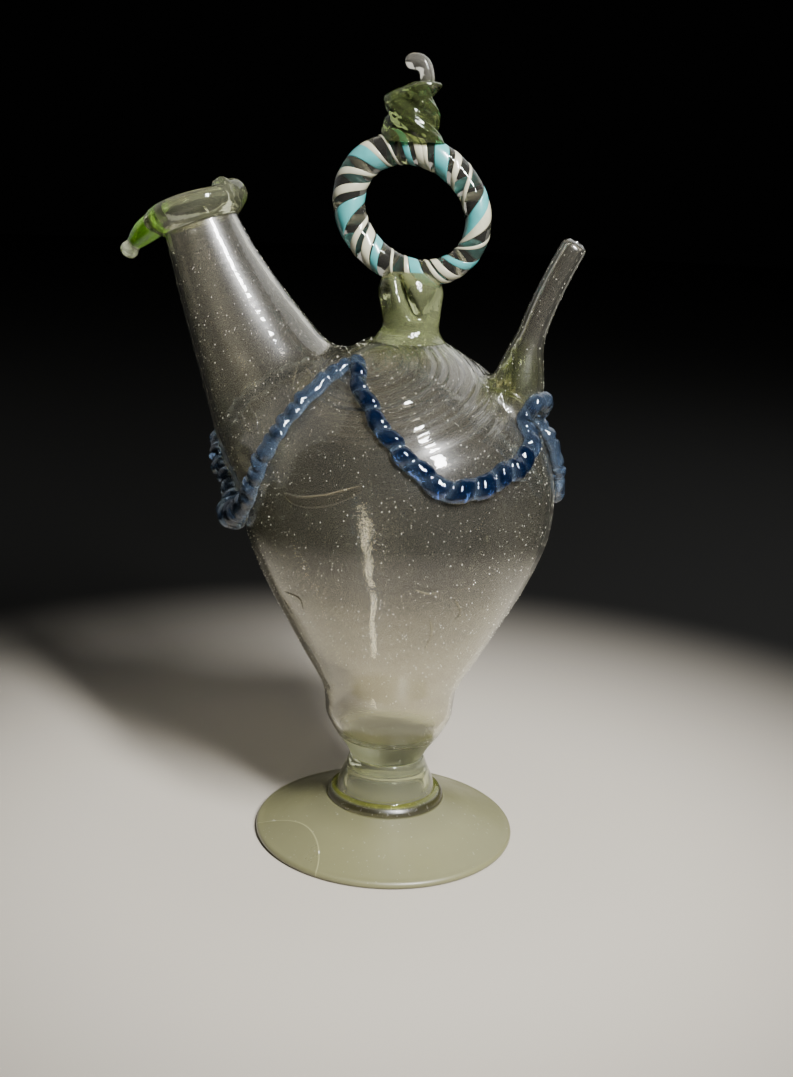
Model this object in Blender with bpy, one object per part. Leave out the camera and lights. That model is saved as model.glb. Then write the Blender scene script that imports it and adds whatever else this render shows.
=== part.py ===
"""Blown glass holy water jug: a hollow body with two spouts on a knop and a trumpet foot, a ring handle
with a curled finial on a post, and a pinched blue trail in festoons round the shoulder.

Metres, +Z up. The jug stands on Z = 0 with its pouring spout towards +X and its filling spout towards -X.
The origin is on the table, midway between the two ends of the jug.
"""

import math

import bmesh
import bpy
import numpy as np
from mathutils import Vector
from mathutils.bvhtree import BVHTree

# Gap that pieces keep where the real glass is fused.
GAP = 0.0003
# Gap under the trail, which also clears the flat facets of the body.
TRAIL_GAP = 0.0006

# Foot: a hollow cone with a thick ring and a bell-shaped collar on it.
FOOT_RADIUS = 0.052
FOOT_EDGE = 0.0030
FOOT_WALL = 0.0030
CONE_HEIGHT = 0.0152
RING_RADIUS = 0.0233
RING_HEIGHT = 0.0037
COLLAR_RADIUS = 0.0199
FOOT_HEIGHT = 0.0330
WAIST_RADIUS = 0.0147
WAIST_FLOOR = 0.0040

# Body: knop, long cone and shoulder, in one hollow skin. The spouts' skins go on from its collars.
WALL = 0.0020
KNOP_RADIUS = 0.0257
KNOP_HEIGHT = 0.0300
BODY_RADIUS = 0.0593
BODY_HEIGHT = 0.1652
BODY_FLOOR = 0.0085
CROWN_RADIUS = 0.0148

# Filling spout: a cone that leans out from the shoulder. Its root lies below the crown, its mouth above.
FILL_BLEND = 0.0120
FILL_ROOT_RADIUS = 0.0302
FILL_ROOT_OUT = 0.0440
FILL_ROOT_DROP = 0.0355
FILL_MOUTH_RADIUS = 0.0143
FILL_MOUTH_OUT = 0.0846
FILL_MOUTH_RISE = 0.0382
FILL_MOUTH_TILT = math.radians(21)
FILL_ROOT_TILT = math.radians(30)

# Pouring spout: thin, slightly bowed, with a rounded tip and a small hole.
POUR_BLEND = 0.0060
POUR_ROOT_RADIUS = 0.0092
POUR_ROOT_OUT = 0.0436
POUR_ROOT_DROP = 0.0162
POUR_TIP_RADIUS = 0.0046
POUR_TIP_OUT = 0.0605
POUR_TIP_RISE = 0.0373
POUR_HOLE_RADIUS = 0.0016

# Lip round the filling mouth, and the green drop on it.
LIP_RADIUS = 0.0205
LIP_HEIGHT = 0.0100
LIP_SKIRT = 0.0007
LIP_INSIDE = 0.0120
LAP_RISE = 0.0040
PRUNT_RADIUS = 0.0050
PRUNT_LENGTH = 0.0175
PRUNT_DROOP = math.radians(43)
BEAD_RADIUS = 0.0036

# Trail: pinched rope of glass, from the peak under the pouring spout round the front and back. It is
# drawn thin at its peaks and sags thicker down to FESTOON_DEPTH below the crown.
TRAIL_WIDTH = 0.0092
TRAIL_PEAK_WIDTH = 0.0060
FESTOON_DEPTH = 0.045
TRAIL_HEIGHT = 0.0052
RIB_SPACING = 0.0064
RIB_DEPTH = 0.72
# The thick lump at the turn under the filling spout: its angle and spread round the axis, in degrees, and
# the shares that it adds to the trail's height and width.
LUMP_ANGLE = -153
LUMP_SPREAD = 13
LUMP_TALLER = 1.0
LUMP_WIDER = 0.3
# (angle round the axis in degrees, depth below the crown) of the trail's turns, from the pouring spout
# round the front to the filling spout, and on round the back.
TRAIL_ROUTE = (
    (-6, 0.0172),
    (-9, 0.0225),
    (-11, 0.0290),
    (-16, 0.0340),
    (-25, 0.0377),
    (-36, 0.0407),
    (-45, 0.0436),
    (-53, 0.0443),
    (-61, 0.0408),
    (-68, 0.0350),
    (-75, 0.0292),
    (-83, 0.0222),
    (-92, 0.0162),
    (-100, 0.0118),
    (-109, 0.0070),
    (-119, 0.0095),
    (-122.5, 0.0165),
    (-125, 0.0245),
    (-126.5, 0.0330),
    (-129.5, 0.0415),
    (-133, 0.0515),
    (-140, 0.0600),
    (-149, 0.0655),
    (-158, 0.0645),
    (-164, 0.0580),
    (-170, 0.0500),
    (-179, 0.0425),
    (-190, 0.0340),
    (-202, 0.0248),
    (-216, 0.0160),
    (-233, 0.0112),
    (-250, 0.0130),
    (-268, 0.0221),
    (-288, 0.0372),
    (-310, 0.0512),
    (-332, 0.0572),
    (-345, 0.0510),
    (-350, 0.0400),
    (-352, 0.0310),
    (-355, 0.0235),
    (-359, 0.0185),
)

# Post, ring and finial. The post stands POST_OUT off the jug's axis, towards the pouring spout, and the
# ring's middle RING_OUT.
POST_RADIUS = 0.0109
POST_HEIGHT = 0.0252
POST_OUT = 0.0013
POST_FLARE = 0.0030
POST_GROOVES = 3
POST_GROOVE = 0.07
POST_TWIST = math.radians(75)
RING_LONG = 0.0250
RING_SHORT = 0.0208
RING_LEAN = math.radians(-30)
RING_TUBE = 0.0055
# The ring's tube is thicker by RING_SWELL where it heads RING_SWELL_AT from its middle, and thinner by as
# much across from there.
RING_SWELL = 0.0007
RING_SWELL_AT = math.radians(150)
RING_SINK = 0.0060
RING_OUT = 0.0007
RING_TURN = math.radians(8)
FINIAL_HEIGHT = 0.0275
FINIAL_RADIUS = 0.0105
FINIAL_TIER = 0.0081
FINIAL_RIDGES = 3
FINIAL_RIDGE = 0.15
FINIAL_START = math.radians(69)
# Share of the finial's length that is ribbed and twisted, and its curl: an arc about a point beside the
# axis, with a thicker, rounded tip.
FINIAL_WOUND = 0.65
CURL_TUBE = 0.0026
CURL_TIP = 0.0030
CURL_OUT = -0.0007
CURL_RADIUS = 0.0041
CURL_ARC = (0.1, 0.7, 1.3, 1.9, 2.5)

# Mesh densities: points round the body, a tube, the drop, the ring, the lip, the post and the finial.
AROUND = 36
TUBE_SIDES = 10
PRUNT_SIDES = 12
RING_STEPS = 32
LIP_STEPS = 28
POST_SIDES = 24
FINIAL_SIDES = 12
# Each spout's path has this many centres. Its rings stand at these numbers: the first, then the others.
SPOUT_CENTRES = 25
FILL_STEPS = (9, (14, 19, 24))
POUR_STEPS = (5, (8, 11, 15, 19, 24))


def clear_scene():
    for obj in list(bpy.data.objects):
        bpy.data.objects.remove(obj, do_unlink=True)


def glass(name, colour, roughness, see_through):
    material = bpy.data.materials.new(name)
    material.use_nodes = True
    shader = material.node_tree.nodes["Principled BSDF"]
    shader.inputs["Base Color"].default_value = (*colour, 1)
    shader.inputs["Metallic"].default_value = 0
    shader.inputs["Roughness"].default_value = roughness
    shader.inputs["Transmission Weight"].default_value = see_through
    shader.inputs["IOR"].default_value = 1.5
    return material


def mesh_object(name, points, faces, material, parent=None):
    """A closed mesh as an object, its faces turned outwards and shaded smooth."""
    mesh = bpy.data.meshes.new(name)
    mesh.from_pydata([tuple(p) for p in points], [], [tuple(f) for f in faces])
    work = bmesh.new()
    work.from_mesh(mesh)
    bmesh.ops.triangulate(work, faces=work.faces[:])
    bmesh.ops.recalc_face_normals(work, faces=work.faces[:])
    work.to_mesh(mesh)
    work.free()
    mesh.shade_smooth()
    obj = bpy.data.objects.new(name, mesh)
    bpy.context.collection.objects.link(obj)
    if material:
        mesh.materials.append(material)
    obj.parent = parent
    return obj


def cut(obj, cutter):
    """Takes the cutter out of the object with an exact Boolean. The cutter stays hidden."""
    cutter.hide_render = True
    cutter.display_type = "WIRE"
    modifier = obj.modifiers.new("seat", "BOOLEAN")
    modifier.operation = "DIFFERENCE"
    modifier.solver = "EXACT"
    modifier.object = cutter


def smooth_curve(knots, steps, closed=False):
    """Catmull-Rom curve through the knots, with the given number of steps between each two."""
    knots = np.asarray(knots, float)
    if closed:
        before, start = np.roll(knots, 1, axis=0), knots
        end, after = np.roll(knots, -1, axis=0), np.roll(knots, -2, axis=0)
    else:
        first = 2 * knots[0] - knots[1]
        last = 2 * knots[-1] - knots[-2]
        padded = np.vstack([first, knots, last])
        before, start, end, after = padded[:-3], padded[1:-2], padded[2:-1], padded[3:]
    t = (np.arange(steps) / steps)[None, :, None]
    a, b, c, d = (part[:, None, :] for part in (before, start, end, after))
    curve = 0.5 * (
        2 * b
        + (c - a) * t
        + (2 * a - 5 * b + 4 * c - d) * t**2
        + (3 * b - a - 3 * c + d) * t**3
    )
    curve = curve.reshape(-1, knots.shape[1])
    return curve if closed else np.vstack([curve, knots[-1]])


def turned(outline, around):
    """Points and faces of an outline turned about Z. An outline end on the axis closes in one point."""
    outline = np.asarray(outline, float)
    on_axis = outline[:, 0] < 1e-7
    angles = 2 * math.pi * np.arange(around) / around
    points, rings = [], []
    for (radius, height), single in zip(outline, on_axis):
        start = len(points)
        if single:
            points.append((0, 0, height))
            rings.append([start] * around)
            continue
        points.extend((radius * math.cos(a), radius * math.sin(a), height) for a in angles)
        rings.append(list(range(start, start + around)))
    faces = []
    pairs = list(zip(rings, rings[1:]))
    if not on_axis[0]:
        pairs.append((rings[-1], rings[0]))
    for upper, lower in pairs:
        faces.extend(strip(upper, lower))
    return np.array(points), faces


def strip(upper, lower):
    """Faces between two rings of point numbers; a ring of one repeated number is a single point."""
    faces = []
    count = len(upper)
    for i in range(count):
        face = [upper[i], upper[(i + 1) % count], lower[(i + 1) % count], lower[i]]
        corners = list(dict.fromkeys(face))
        if len(corners) > 2:
            faces.append(corners)
    return faces


def swept(sections, first, last):
    """Points and faces of closed sections in a row, capped at each end with a fan about a point."""
    count = len(sections[0])
    points = [tuple(p) for section in sections for p in section]
    rings = [list(range(i * count, (i + 1) * count)) for i in range(len(sections))]
    faces = []
    for upper, lower in zip(rings, rings[1:]):
        faces.extend(strip(upper, lower))
    for ring, middle in ((rings[0], first), (rings[-1], last)):
        points.append(tuple(middle))
        faces.extend(strip(ring, [len(points) - 1] * count))
    return np.array(points), faces


def looped(sections):
    """Points and faces of closed sections in a row that joins up with itself."""
    count = len(sections[0])
    rings = [list(range(i * count, (i + 1) * count)) for i in range(len(sections))]
    faces = []
    for here, following in zip(rings, rings[1:] + rings[:1]):
        faces.extend(strip(here, following))
    return np.array([tuple(p) for section in sections for p in section]), faces


def waist_z():
    return FOOT_HEIGHT + GAP


def crown_z():
    return waist_z() + BODY_HEIGHT


def body_outline(steps):
    """(radius, height) down the outside of the body from the crown to the waist, both on the axis.

    The cone and shoulder are shares of the body's own radius and height above the knop."""
    foot, knop = waist_z(), waist_z() + KNOP_HEIGHT
    rise, grow = BODY_HEIGHT - KNOP_HEIGHT, BODY_RADIUS - KNOP_RADIUS
    shoulder = BODY_RADIUS - CROWN_RADIUS
    knots = [
        (CROWN_RADIUS, crown_z()),
        (CROWN_RADIUS + 0.42 * shoulder, knop + 0.913 * rise),
        (CROWN_RADIUS + 0.81 * shoulder, knop + 0.792 * rise),
        (CROWN_RADIUS + 0.960 * shoulder, knop + 0.681 * rise),
        (BODY_RADIUS, knop + 0.570 * rise),
        (KNOP_RADIUS + 0.950 * grow, knop + 0.459 * rise),
        (KNOP_RADIUS + 0.745 * grow, knop + 0.328 * rise),
        (KNOP_RADIUS + 0.500 * grow, knop + 0.213 * rise),
        (KNOP_RADIUS + 0.295 * grow, knop + 0.118 * rise),
        (KNOP_RADIUS + 0.050 * grow, knop + 0.008 * rise),
        (KNOP_RADIUS, foot + 0.790 * KNOP_HEIGHT),
        (0.97 * KNOP_RADIUS, foot + 0.580 * KNOP_HEIGHT),
        (WAIST_RADIUS + 0.600 * (KNOP_RADIUS - WAIST_RADIUS), foot + 0.350 * KNOP_HEIGHT),
        (WAIST_RADIUS + 0.190 * (KNOP_RADIUS - WAIST_RADIUS), foot + 0.140 * KNOP_HEIGHT),
        (WAIST_RADIUS, foot),
    ]
    curve = smooth_curve(knots, steps)
    return np.vstack([(0, crown_z()), curve, (0, foot)])


def leaning(out, rise, tilt, away):
    """A point in the plane of the spouts, moved by a length along a direction that leans out by tilt."""
    return np.array([out + away * math.sin(tilt), 0, rise + away * math.cos(tilt)])


def fill_spout():
    """Centres and radii up the filling spout. Its side is a straight cone from root to mouth."""
    root = np.array([FILL_ROOT_OUT, 0, crown_z() - FILL_ROOT_DROP])
    mouth = np.array([FILL_MOUTH_OUT, 0, crown_z() + FILL_MOUTH_RISE])
    reach = np.linalg.norm(mouth - root)
    knots = [
        root,
        leaning(root[0], root[2], FILL_ROOT_TILT, 0.33 * reach),
        leaning(mouth[0], mouth[2], FILL_MOUTH_TILT, -0.33 * reach),
        mouth,
    ]
    t = np.linspace(0, 1, SPOUT_CENTRES)[:, None]
    a, b, c, d = knots
    centres = (1 - t) ** 3 * a + 3 * (1 - t) ** 2 * t * b + 3 * (1 - t) * t**2 * c + t**3 * d
    radii = FILL_MOUTH_RADIUS + (FILL_ROOT_RADIUS - FILL_MOUTH_RADIUS) * (1 - t[:, 0]) ** 1.25
    return centres * np.array([-1, 1, 1]), radii


def pour_spout():
    """Centres and radii up the pouring spout, which bows out and thins quickly above its root."""
    root = np.array([POUR_ROOT_OUT, 0, crown_z() - POUR_ROOT_DROP])
    tip = np.array([POUR_TIP_OUT, 0, crown_z() + POUR_TIP_RISE])
    t = np.linspace(0, 1, SPOUT_CENTRES)[:, None]
    bend = np.array([root[0] + 0.10 * (tip[0] - root[0]), 0, root[2] + 0.45 * (tip[2] - root[2])])
    centres = (1 - t) ** 2 * root + 2 * (1 - t) * t * bend + t**2 * tip
    thin = np.clip(t[:, 0] / 0.5, 0, 1)
    ease = 1 - thin * thin * (3 - 2 * thin)
    radii = POUR_TIP_RADIUS * (1.12 - 0.12 * t[:, 0]) + (POUR_ROOT_RADIUS - POUR_TIP_RADIUS) * ease
    return centres, radii


def smooth_min(a, b, width):
    """The smaller of two distances, rounded where they differ by less than width."""
    overlap = np.maximum(width - np.abs(a - b), 0) / width
    return np.minimum(a, b) - overlap * overlap * width / 4


def outline_distance(points, outline):
    """Signed distance to the solid that the outline turns, negative inside."""
    radius = np.hypot(points[:, 0], points[:, 1])
    flat = np.stack([radius, points[:, 2]], axis=1)
    start, step = outline[:-1], np.diff(outline, axis=0)
    length = np.maximum((step**2).sum(axis=1), 1e-18)
    offset = flat[:, None, :] - start[None]
    along = np.clip((offset * step).sum(axis=2) / length, 0, 1)
    away = np.linalg.norm(offset - along[:, :, None] * step, axis=2).min(axis=1)
    side = outline[1:-1][::-1]
    wall = np.interp(points[:, 2], side[:, 1], side[:, 0], left=-1, right=-1)
    return np.where(radius < wall, -away, away)


def tube_distance(points, centres, radii):
    """Distance to a round tube of changing radius, negative inside."""
    start, step = centres[:-1], np.diff(centres, axis=0)
    length = (step**2).sum(axis=1)
    offset = points[:, None, :] - start[None]
    along = np.clip((offset * step).sum(axis=2) / length, 0, 1)
    away = np.linalg.norm(offset - along[:, :, None] * step, axis=2)
    return (away - radii[:-1] - along * np.diff(radii)).min(axis=1)


def stretched(centres, radii, length):
    """The tube carried on past its end, so that the end has no influence on its side."""
    direction = centres[-1] - centres[-2]
    direction /= np.linalg.norm(direction)
    return np.vstack([centres, centres[-1] + length * direction]), np.append(radii, radii[-1])


class Glass:
    """The body and spouts as one rounded distance field, whose levels are the glass's two faces."""

    def __init__(self):
        self.outline = body_outline(8)
        self.fill = stretched(*fill_spout(), 0.03)
        self.pour = stretched(*pour_spout(), 0.03)

    def distance(self, points):
        body = outline_distance(points, self.outline)
        both = smooth_min(body, tube_distance(points, *self.fill), FILL_BLEND)
        return smooth_min(both, tube_distance(points, *self.pour), POUR_BLEND)

    def settled(self, points, level):
        """Points moved straight down the field's slope until they lie on the level."""
        points = np.array(points, float)
        steps = 2e-5 * np.eye(3)
        for _ in range(10):
            value = self.distance(points) - level
            slope = np.stack(
                [(self.distance(points + s) - self.distance(points - s)) / 4e-5 for s in steps],
                axis=1,
            )
            steep = np.maximum((slope**2).sum(axis=1), 0.05)
            move = np.clip(value / steep, -0.004, 0.004)
            points -= move[:, None] * slope
        return points


def spout_frame(centres, index):
    """Direction of a spout at a point, and two directions across it."""
    low, high = max(index - 1, 0), min(index + 1, len(centres) - 1)
    along = centres[high] - centres[low]
    along /= np.linalg.norm(along)
    sideways = np.array([0.0, 1.0, 0.0])
    across = np.cross(sideways, along)
    return along, across, sideways


def spout_ring(centres, radii, index, angles, level):
    _, across, sideways = spout_frame(centres, index)
    ring = np.cos(angles)[:, None] * across + np.sin(angles)[:, None] * sideways
    return centres[index] + (radii[index] + level) * ring


def ring_angles(loop, centres, index):
    """The angle of each loop point about the spout, made continuous round the loop."""
    _, across, sideways = spout_frame(centres, index)
    offset = loop - centres[index]
    return np.unwrap(np.arctan2(offset @ sideways, offset @ across))


def even_angles(angles):
    """Equal steps that start at the same mean angle and run the same way."""
    turn = np.sign(angles[-1] - angles[0])
    steps = turn * 2 * math.pi * np.arange(len(angles)) / len(angles)
    return steps + (angles - steps).mean()


def block_loop(columns, rows):
    """(row, column) pairs round a block of the body's grid, corners once each."""
    loop = [(rows[0], c) for c in columns[:-1]]
    loop += [(r, columns[-1]) for r in rows[:-1]]
    loop += [(rows[-1], c) for c in columns[:0:-1]]
    loop += [(r, columns[0]) for r in rows[:0:-1]]
    return loop


def spout_block(rings, middle, half_angle, low, high):
    """Columns and rows of the body's grid that a spout's root takes the place of."""
    half = max(2, round(half_angle / (2 * math.pi / AROUND)))
    centre = round(middle / (2 * math.pi / AROUND))
    columns = [(centre + c) % AROUND for c in range(-half, half + 1)]
    heights = rings[:, 1]
    rows = [i for i in range(1, len(rings) - 1) if low <= heights[i] <= high]
    return columns, rows


def skin(field, level, rows):
    """One face of the glass: the turned body, whose grid gives way to the rows of each spout's root.

    Returns its points, the faces of the body, and the rings of points up each spout from its root."""
    inner = level < 0
    rings = rows if not inner else rows[rows[:, 1] > waist_z() + BODY_FLOOR + 0.003]
    angles = 2 * math.pi * np.arange(AROUND) / AROUND
    grid = np.stack(
        [
            rings[:, 0, None] * np.cos(angles),
            rings[:, 0, None] * np.sin(angles),
            np.repeat(rings[:, 1, None], AROUND, axis=1),
        ],
        axis=2,
    )
    fill_reach = math.asin(min(0.95, FILL_ROOT_RADIUS / BODY_RADIUS))
    fill_low = crown_z() - FILL_ROOT_DROP - FILL_ROOT_RADIUS
    fill_high = crown_z() - 0.15 * FILL_ROOT_DROP
    pour_reach = 1.5 * POUR_ROOT_RADIUS / POUR_ROOT_OUT
    pour_low = crown_z() - POUR_ROOT_DROP - 1.7 * POUR_ROOT_RADIUS
    pour_high = crown_z() - POUR_ROOT_DROP + POUR_ROOT_RADIUS
    spouts = [
        (fill_spout(), spout_block(rings, math.pi, fill_reach, fill_low, fill_high), FILL_STEPS),
        (pour_spout(), spout_block(rings, 0, pour_reach, pour_low, pour_high), POUR_STEPS),
    ]
    number = np.arange(grid.shape[0] * AROUND).reshape(-1, AROUND)
    points = [grid.reshape(-1, 3)]
    gone = set()
    count = grid.shape[0] * AROUND
    faces, tubes = [], []
    for (centres, radii), (columns, block_rows), (root, stops) in spouts:
        gone |= {(r, c) for r in block_rows[:-1] for c in columns[:-1]}
        loop = block_loop(columns, block_rows)
        edge = np.array([grid[r, c] for r, c in loop])
        turn = ring_angles(edge, centres, root)
        even = even_angles(turn)
        first = spout_ring(centres, radii, root, 0.5 * (turn + even), level)
        spread = [(1 - v) * edge + v * first for v in (0.3, 0.6, 0.85)]
        upper = [spout_ring(centres, radii, s, even, level) for s in stops]
        points += spread + [first] + upper
        fresh = count + np.arange((len(spread) + 1 + len(upper)) * len(loop)).reshape(-1, len(loop))
        count += fresh.size
        lower = np.vstack([[number[r, c] for r, c in loop], fresh[: len(spread) + 1]])
        for here, following in zip(lower, lower[1:]):
            faces.extend(strip(list(here), list(following)))
        tubes.append(fresh[len(spread) :])
    points = np.vstack(points)
    settled = field.settled(points, level)
    for tube in tubes:
        settled[tube[-1]] = points[tube[-1]]
    for r in range(grid.shape[0] - 1):
        for c in range(AROUND):
            if (r, c) not in gone:
                following = (c + 1) % AROUND
                faces.append(
                    [number[r, c], number[r, following], number[r + 1, following], number[r + 1, c]]
                )
    points, faces = closed_ends(settled, faces, number, level)
    return points, faces, tubes


def closed_ends(points, faces, number, level):
    """Closes the crown and the bottom of one face of the glass, each in one point on the axis."""
    crown = [0, 0, crown_z() + level]
    bottom = [0, 0, waist_z() + (BODY_FLOOR if level < 0 else 0)]
    points = list(map(tuple, points)) + [tuple(crown)]
    faces = faces + strip([len(points) - 1] * AROUND, list(number[0]))
    last = list(number[-1])
    if level < 0:
        for share, lift in ((0.80, 0.25), (0.42, 0.03)):
            edge = np.array([points[i] for i in number[-1]])
            ring = edge * [share, share, lift] + [0, 0, (1 - lift) * bottom[2]]
            start = len(points)
            points += list(map(tuple, ring))
            fresh = list(range(start, start + AROUND))
            faces += strip(last, fresh)
            last = fresh
    points.append(tuple(bottom))
    faces += strip(last, [len(points) - 1] * AROUND)
    return np.array(points), faces


def row_choice(outline):
    """Rows of the body's grid: the dense outline thinned to about equal bends and lengths."""
    side = outline[1:-1]
    keep = [0]
    for i in range(1, len(side) - 1):
        here, last = side[i], side[keep[-1]]
        gone = np.linalg.norm(here - last)
        heading = side[i + 1] - side[i]
        earlier = side[keep[-1] + 1] - side[keep[-1]]
        bend = abs(
            math.atan2(heading[1], heading[0]) - math.atan2(earlier[1], earlier[0])
        )
        if gone > 0.0100 or (gone > 0.0030 and bend > math.radians(14)):
            keep.append(i)
    keep.append(len(side) - 1)
    return side[keep]


def build_glass(material, parent):
    """The blown body and the two spouts that stand on its collars, each a separate gather.

    Returns them with a search tree of their whole outer face, which the trail is laid on."""
    field = Glass()
    rows = row_choice(field.outline)
    outer, outer_faces, outer_tubes = skin(field, 0.0, rows)
    inner, inner_faces, inner_tubes = skin(field, -WALL, rows)
    count = len(outer)
    points = np.vstack([outer, inner])
    faces = list(outer_faces) + [[i + count for i in face] for face in inner_faces]
    pieces, whole = [], list(outer_faces)
    rims = ([], pour_rim(outer[outer_tubes[1][-1]]))
    spouts = (("filling_spout", fill_spout(), FILL_STEPS), ("pouring_spout", pour_spout(), POUR_STEPS))
    for (name, (centres, _), (root, _)), outside, inside, rim in zip(spouts, outer_tubes, inner_tubes, rims):
        faces += strip(list(outside[0]), list(inside[0] + count))
        for here, following in zip(outside, outside[1:]):
            whole += strip(list(here), list(following))
        sections = [outer[ring] for ring in outside] + rim + [inner[ring] for ring in inside[::-1]]
        along, _, _ = spout_frame(centres, root)
        sections[0] = sections[0] + GAP * along
        sections[-1] = sections[-1] + GAP * along
        tube_points, tube_faces = looped(sections)
        pieces.append(mesh_object(name, tube_points, tube_faces, material, parent))
    used = sorted({i for face in faces for i in face})
    renumber = {old: new for new, old in enumerate(used)}
    faces = [[renumber[i] for i in face] for face in faces]
    pieces.insert(0, mesh_object("vessel", points[used], faces, material, parent))
    return pieces, search_tree(outer, whole)


def search_tree(points, faces):
    """The faces as a search tree, with their normals turned outwards."""
    work = bmesh.new()
    corners = [work.verts.new(point) for point in points]
    for face in faces:
        work.faces.new([corners[i] for i in face])
    bmesh.ops.recalc_face_normals(work, faces=work.faces[:])
    tree = BVHTree.FromBMesh(work)
    work.free()
    return tree


def pour_rim(edge):
    """Rings that round the pouring spout's end over to its hole."""
    centres, _ = pour_spout()
    along, _, _ = spout_frame(centres, len(centres) - 1)
    spokes = edge - centres[-1]
    spokes /= np.linalg.norm(spokes, axis=1)[:, None]
    rim = POUR_TIP_RADIUS - POUR_HOLE_RADIUS
    return [
        centres[-1] + (POUR_TIP_RADIUS - taken * rim) * spokes + rise * rim * along
        for taken, rise in ((0.16, 0.42), (1.0, 0.60))
    ]


def build_foot(material, parent):
    """The foot's outer face from rim to waist, and its inner face one wall inside, both turned."""
    ring_top = CONE_HEIGHT + RING_HEIGHT
    bell = FOOT_HEIGHT - ring_top
    flare = COLLAR_RADIUS - WAIST_RADIUS
    spread = FOOT_RADIUS - RING_RADIUS
    outer = [
        (0, FOOT_HEIGHT),
        (WAIST_RADIUS, FOOT_HEIGHT),
        (WAIST_RADIUS + 0.31 * flare, FOOT_HEIGHT - 0.32 * bell),
        (WAIST_RADIUS + 0.81 * flare, FOOT_HEIGHT - 0.77 * bell),
        (COLLAR_RADIUS, ring_top),
        (0.45 * COLLAR_RADIUS + 0.55 * RING_RADIUS, ring_top - 0.25 * RING_HEIGHT),
        (RING_RADIUS, ring_top - 0.75 * RING_HEIGHT),
        (RING_RADIUS, CONE_HEIGHT),
        (RING_RADIUS + 0.22 * spread, FOOT_EDGE + 0.72 * (CONE_HEIGHT - FOOT_EDGE)),
        (RING_RADIUS + 0.60 * spread, FOOT_EDGE + 0.31 * (CONE_HEIGHT - FOOT_EDGE)),
        (FOOT_RADIUS - 0.35 * FOOT_EDGE, 0.85 * FOOT_EDGE),
        (FOOT_RADIUS, 0.5 * FOOT_EDGE),
        (FOOT_RADIUS - 0.35 * FOOT_EDGE, 0),
    ]
    inner = [
        (FOOT_RADIUS - 1.45 * FOOT_EDGE, 0),
        (RING_RADIUS + 0.55 * spread, 0.37 * (CONE_HEIGHT - FOOT_EDGE)),
        (RING_RADIUS + 0.18 * spread, CONE_HEIGHT - FOOT_WALL - 0.22 * (CONE_HEIGHT - FOOT_EDGE)),
        (COLLAR_RADIUS - 0.8 * FOOT_WALL, ring_top - 1.1 * FOOT_WALL),
        (WAIST_RADIUS + 0.81 * flare - FOOT_WALL, FOOT_HEIGHT - 0.77 * bell),
        (WAIST_RADIUS - 0.35 * FOOT_WALL, FOOT_HEIGHT - WAIST_FLOOR - 0.15 * bell),
        (0.55 * WAIST_RADIUS, FOOT_HEIGHT - WAIST_FLOOR),
        (0, FOOT_HEIGHT - WAIST_FLOOR),
    ]
    points, faces = turned(outer + inner, AROUND)
    return mesh_object("foot", points, faces, material, parent)


def lip_outline(grow):
    """(radius, height along the mouth's axis) of the lip's section, a hook over the spout's edge."""
    seat = FILL_MOUTH_RADIUS + 2 * GAP
    low = -LIP_SKIRT
    flare = LIP_RADIUS - seat
    section = np.array(
        [
            (seat + 0.12 * flare, low),
            (seat + 0.34 * flare, low + 0.26 * LIP_HEIGHT),
            (seat + 0.84 * flare, low + 0.52 * LIP_HEIGHT),
            (LIP_RADIUS, low + 0.72 * LIP_HEIGHT),
            (seat + 0.80 * flare, low + 0.92 * LIP_HEIGHT),
            (seat + 0.35 * flare, low + LIP_HEIGHT),
            (LIP_INSIDE + 0.35 * (seat - LIP_INSIDE), low + 0.90 * LIP_HEIGHT),
            (LIP_INSIDE, low + 0.50 * LIP_HEIGHT),
            (LIP_INSIDE, GAP),
            (seat, GAP),
            (seat, low),
        ]
    )
    outward = section - section.mean(axis=0)
    return section + grow * outward / np.linalg.norm(outward, axis=1)[:, None]


def lip_points(grow=0.0):
    """The lip's section carried round the mouth, with the lap that rises on its inner side."""
    centres, _ = fill_spout()
    along, across, sideways = spout_frame(centres, len(centres) - 1)
    toward_axis = np.sign(-centres[-1][0] * across[0])
    sections = []
    for angle in 2 * math.pi * np.arange(LIP_STEPS) / LIP_STEPS:
        lap = LAP_RISE * max(0, math.cos(angle) * toward_axis) ** 12
        radial = math.cos(angle) * across + math.sin(angle) * sideways
        section = lip_outline(grow)
        upper = lap * np.clip(section[:, 1] / (0.7 * LIP_HEIGHT), 0, 1)
        radius, height = section[:, 0] + 0.3 * upper, section[:, 1] + upper
        sections.append(centres[-1] + radius[:, None] * radial + height[:, None] * along)
    return looped(sections)


def build_lip(material, parent):
    points, faces = lip_points()
    return mesh_object("mouth_lip", points, faces, material, parent)


def path_frames(path):
    """Unit tangents of a path, and two unit directions across it that don't turn about it."""
    tangents = np.gradient(path, axis=0)
    tangents /= np.linalg.norm(tangents, axis=1)[:, None]
    side = np.cross(tangents[0], [0.0, 0.0, 1.0])
    if np.linalg.norm(side) < 0.2:
        side = np.array([1.0, 0.0, 0.0])
    frames = []
    for tangent in tangents:
        side = side - (side @ tangent) * tangent
        side /= np.linalg.norm(side)
        frames.append((side, np.cross(tangent, side)))
    return tangents, frames


def round_sections(path, radii, sides):
    _, frames = path_frames(path)
    angles = 2 * math.pi * np.arange(sides) / sides
    return [
        centre + radius * (np.cos(angles)[:, None] * one + np.sin(angles)[:, None] * two)
        for centre, radius, (one, two) in zip(path, radii, frames)
    ]


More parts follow.
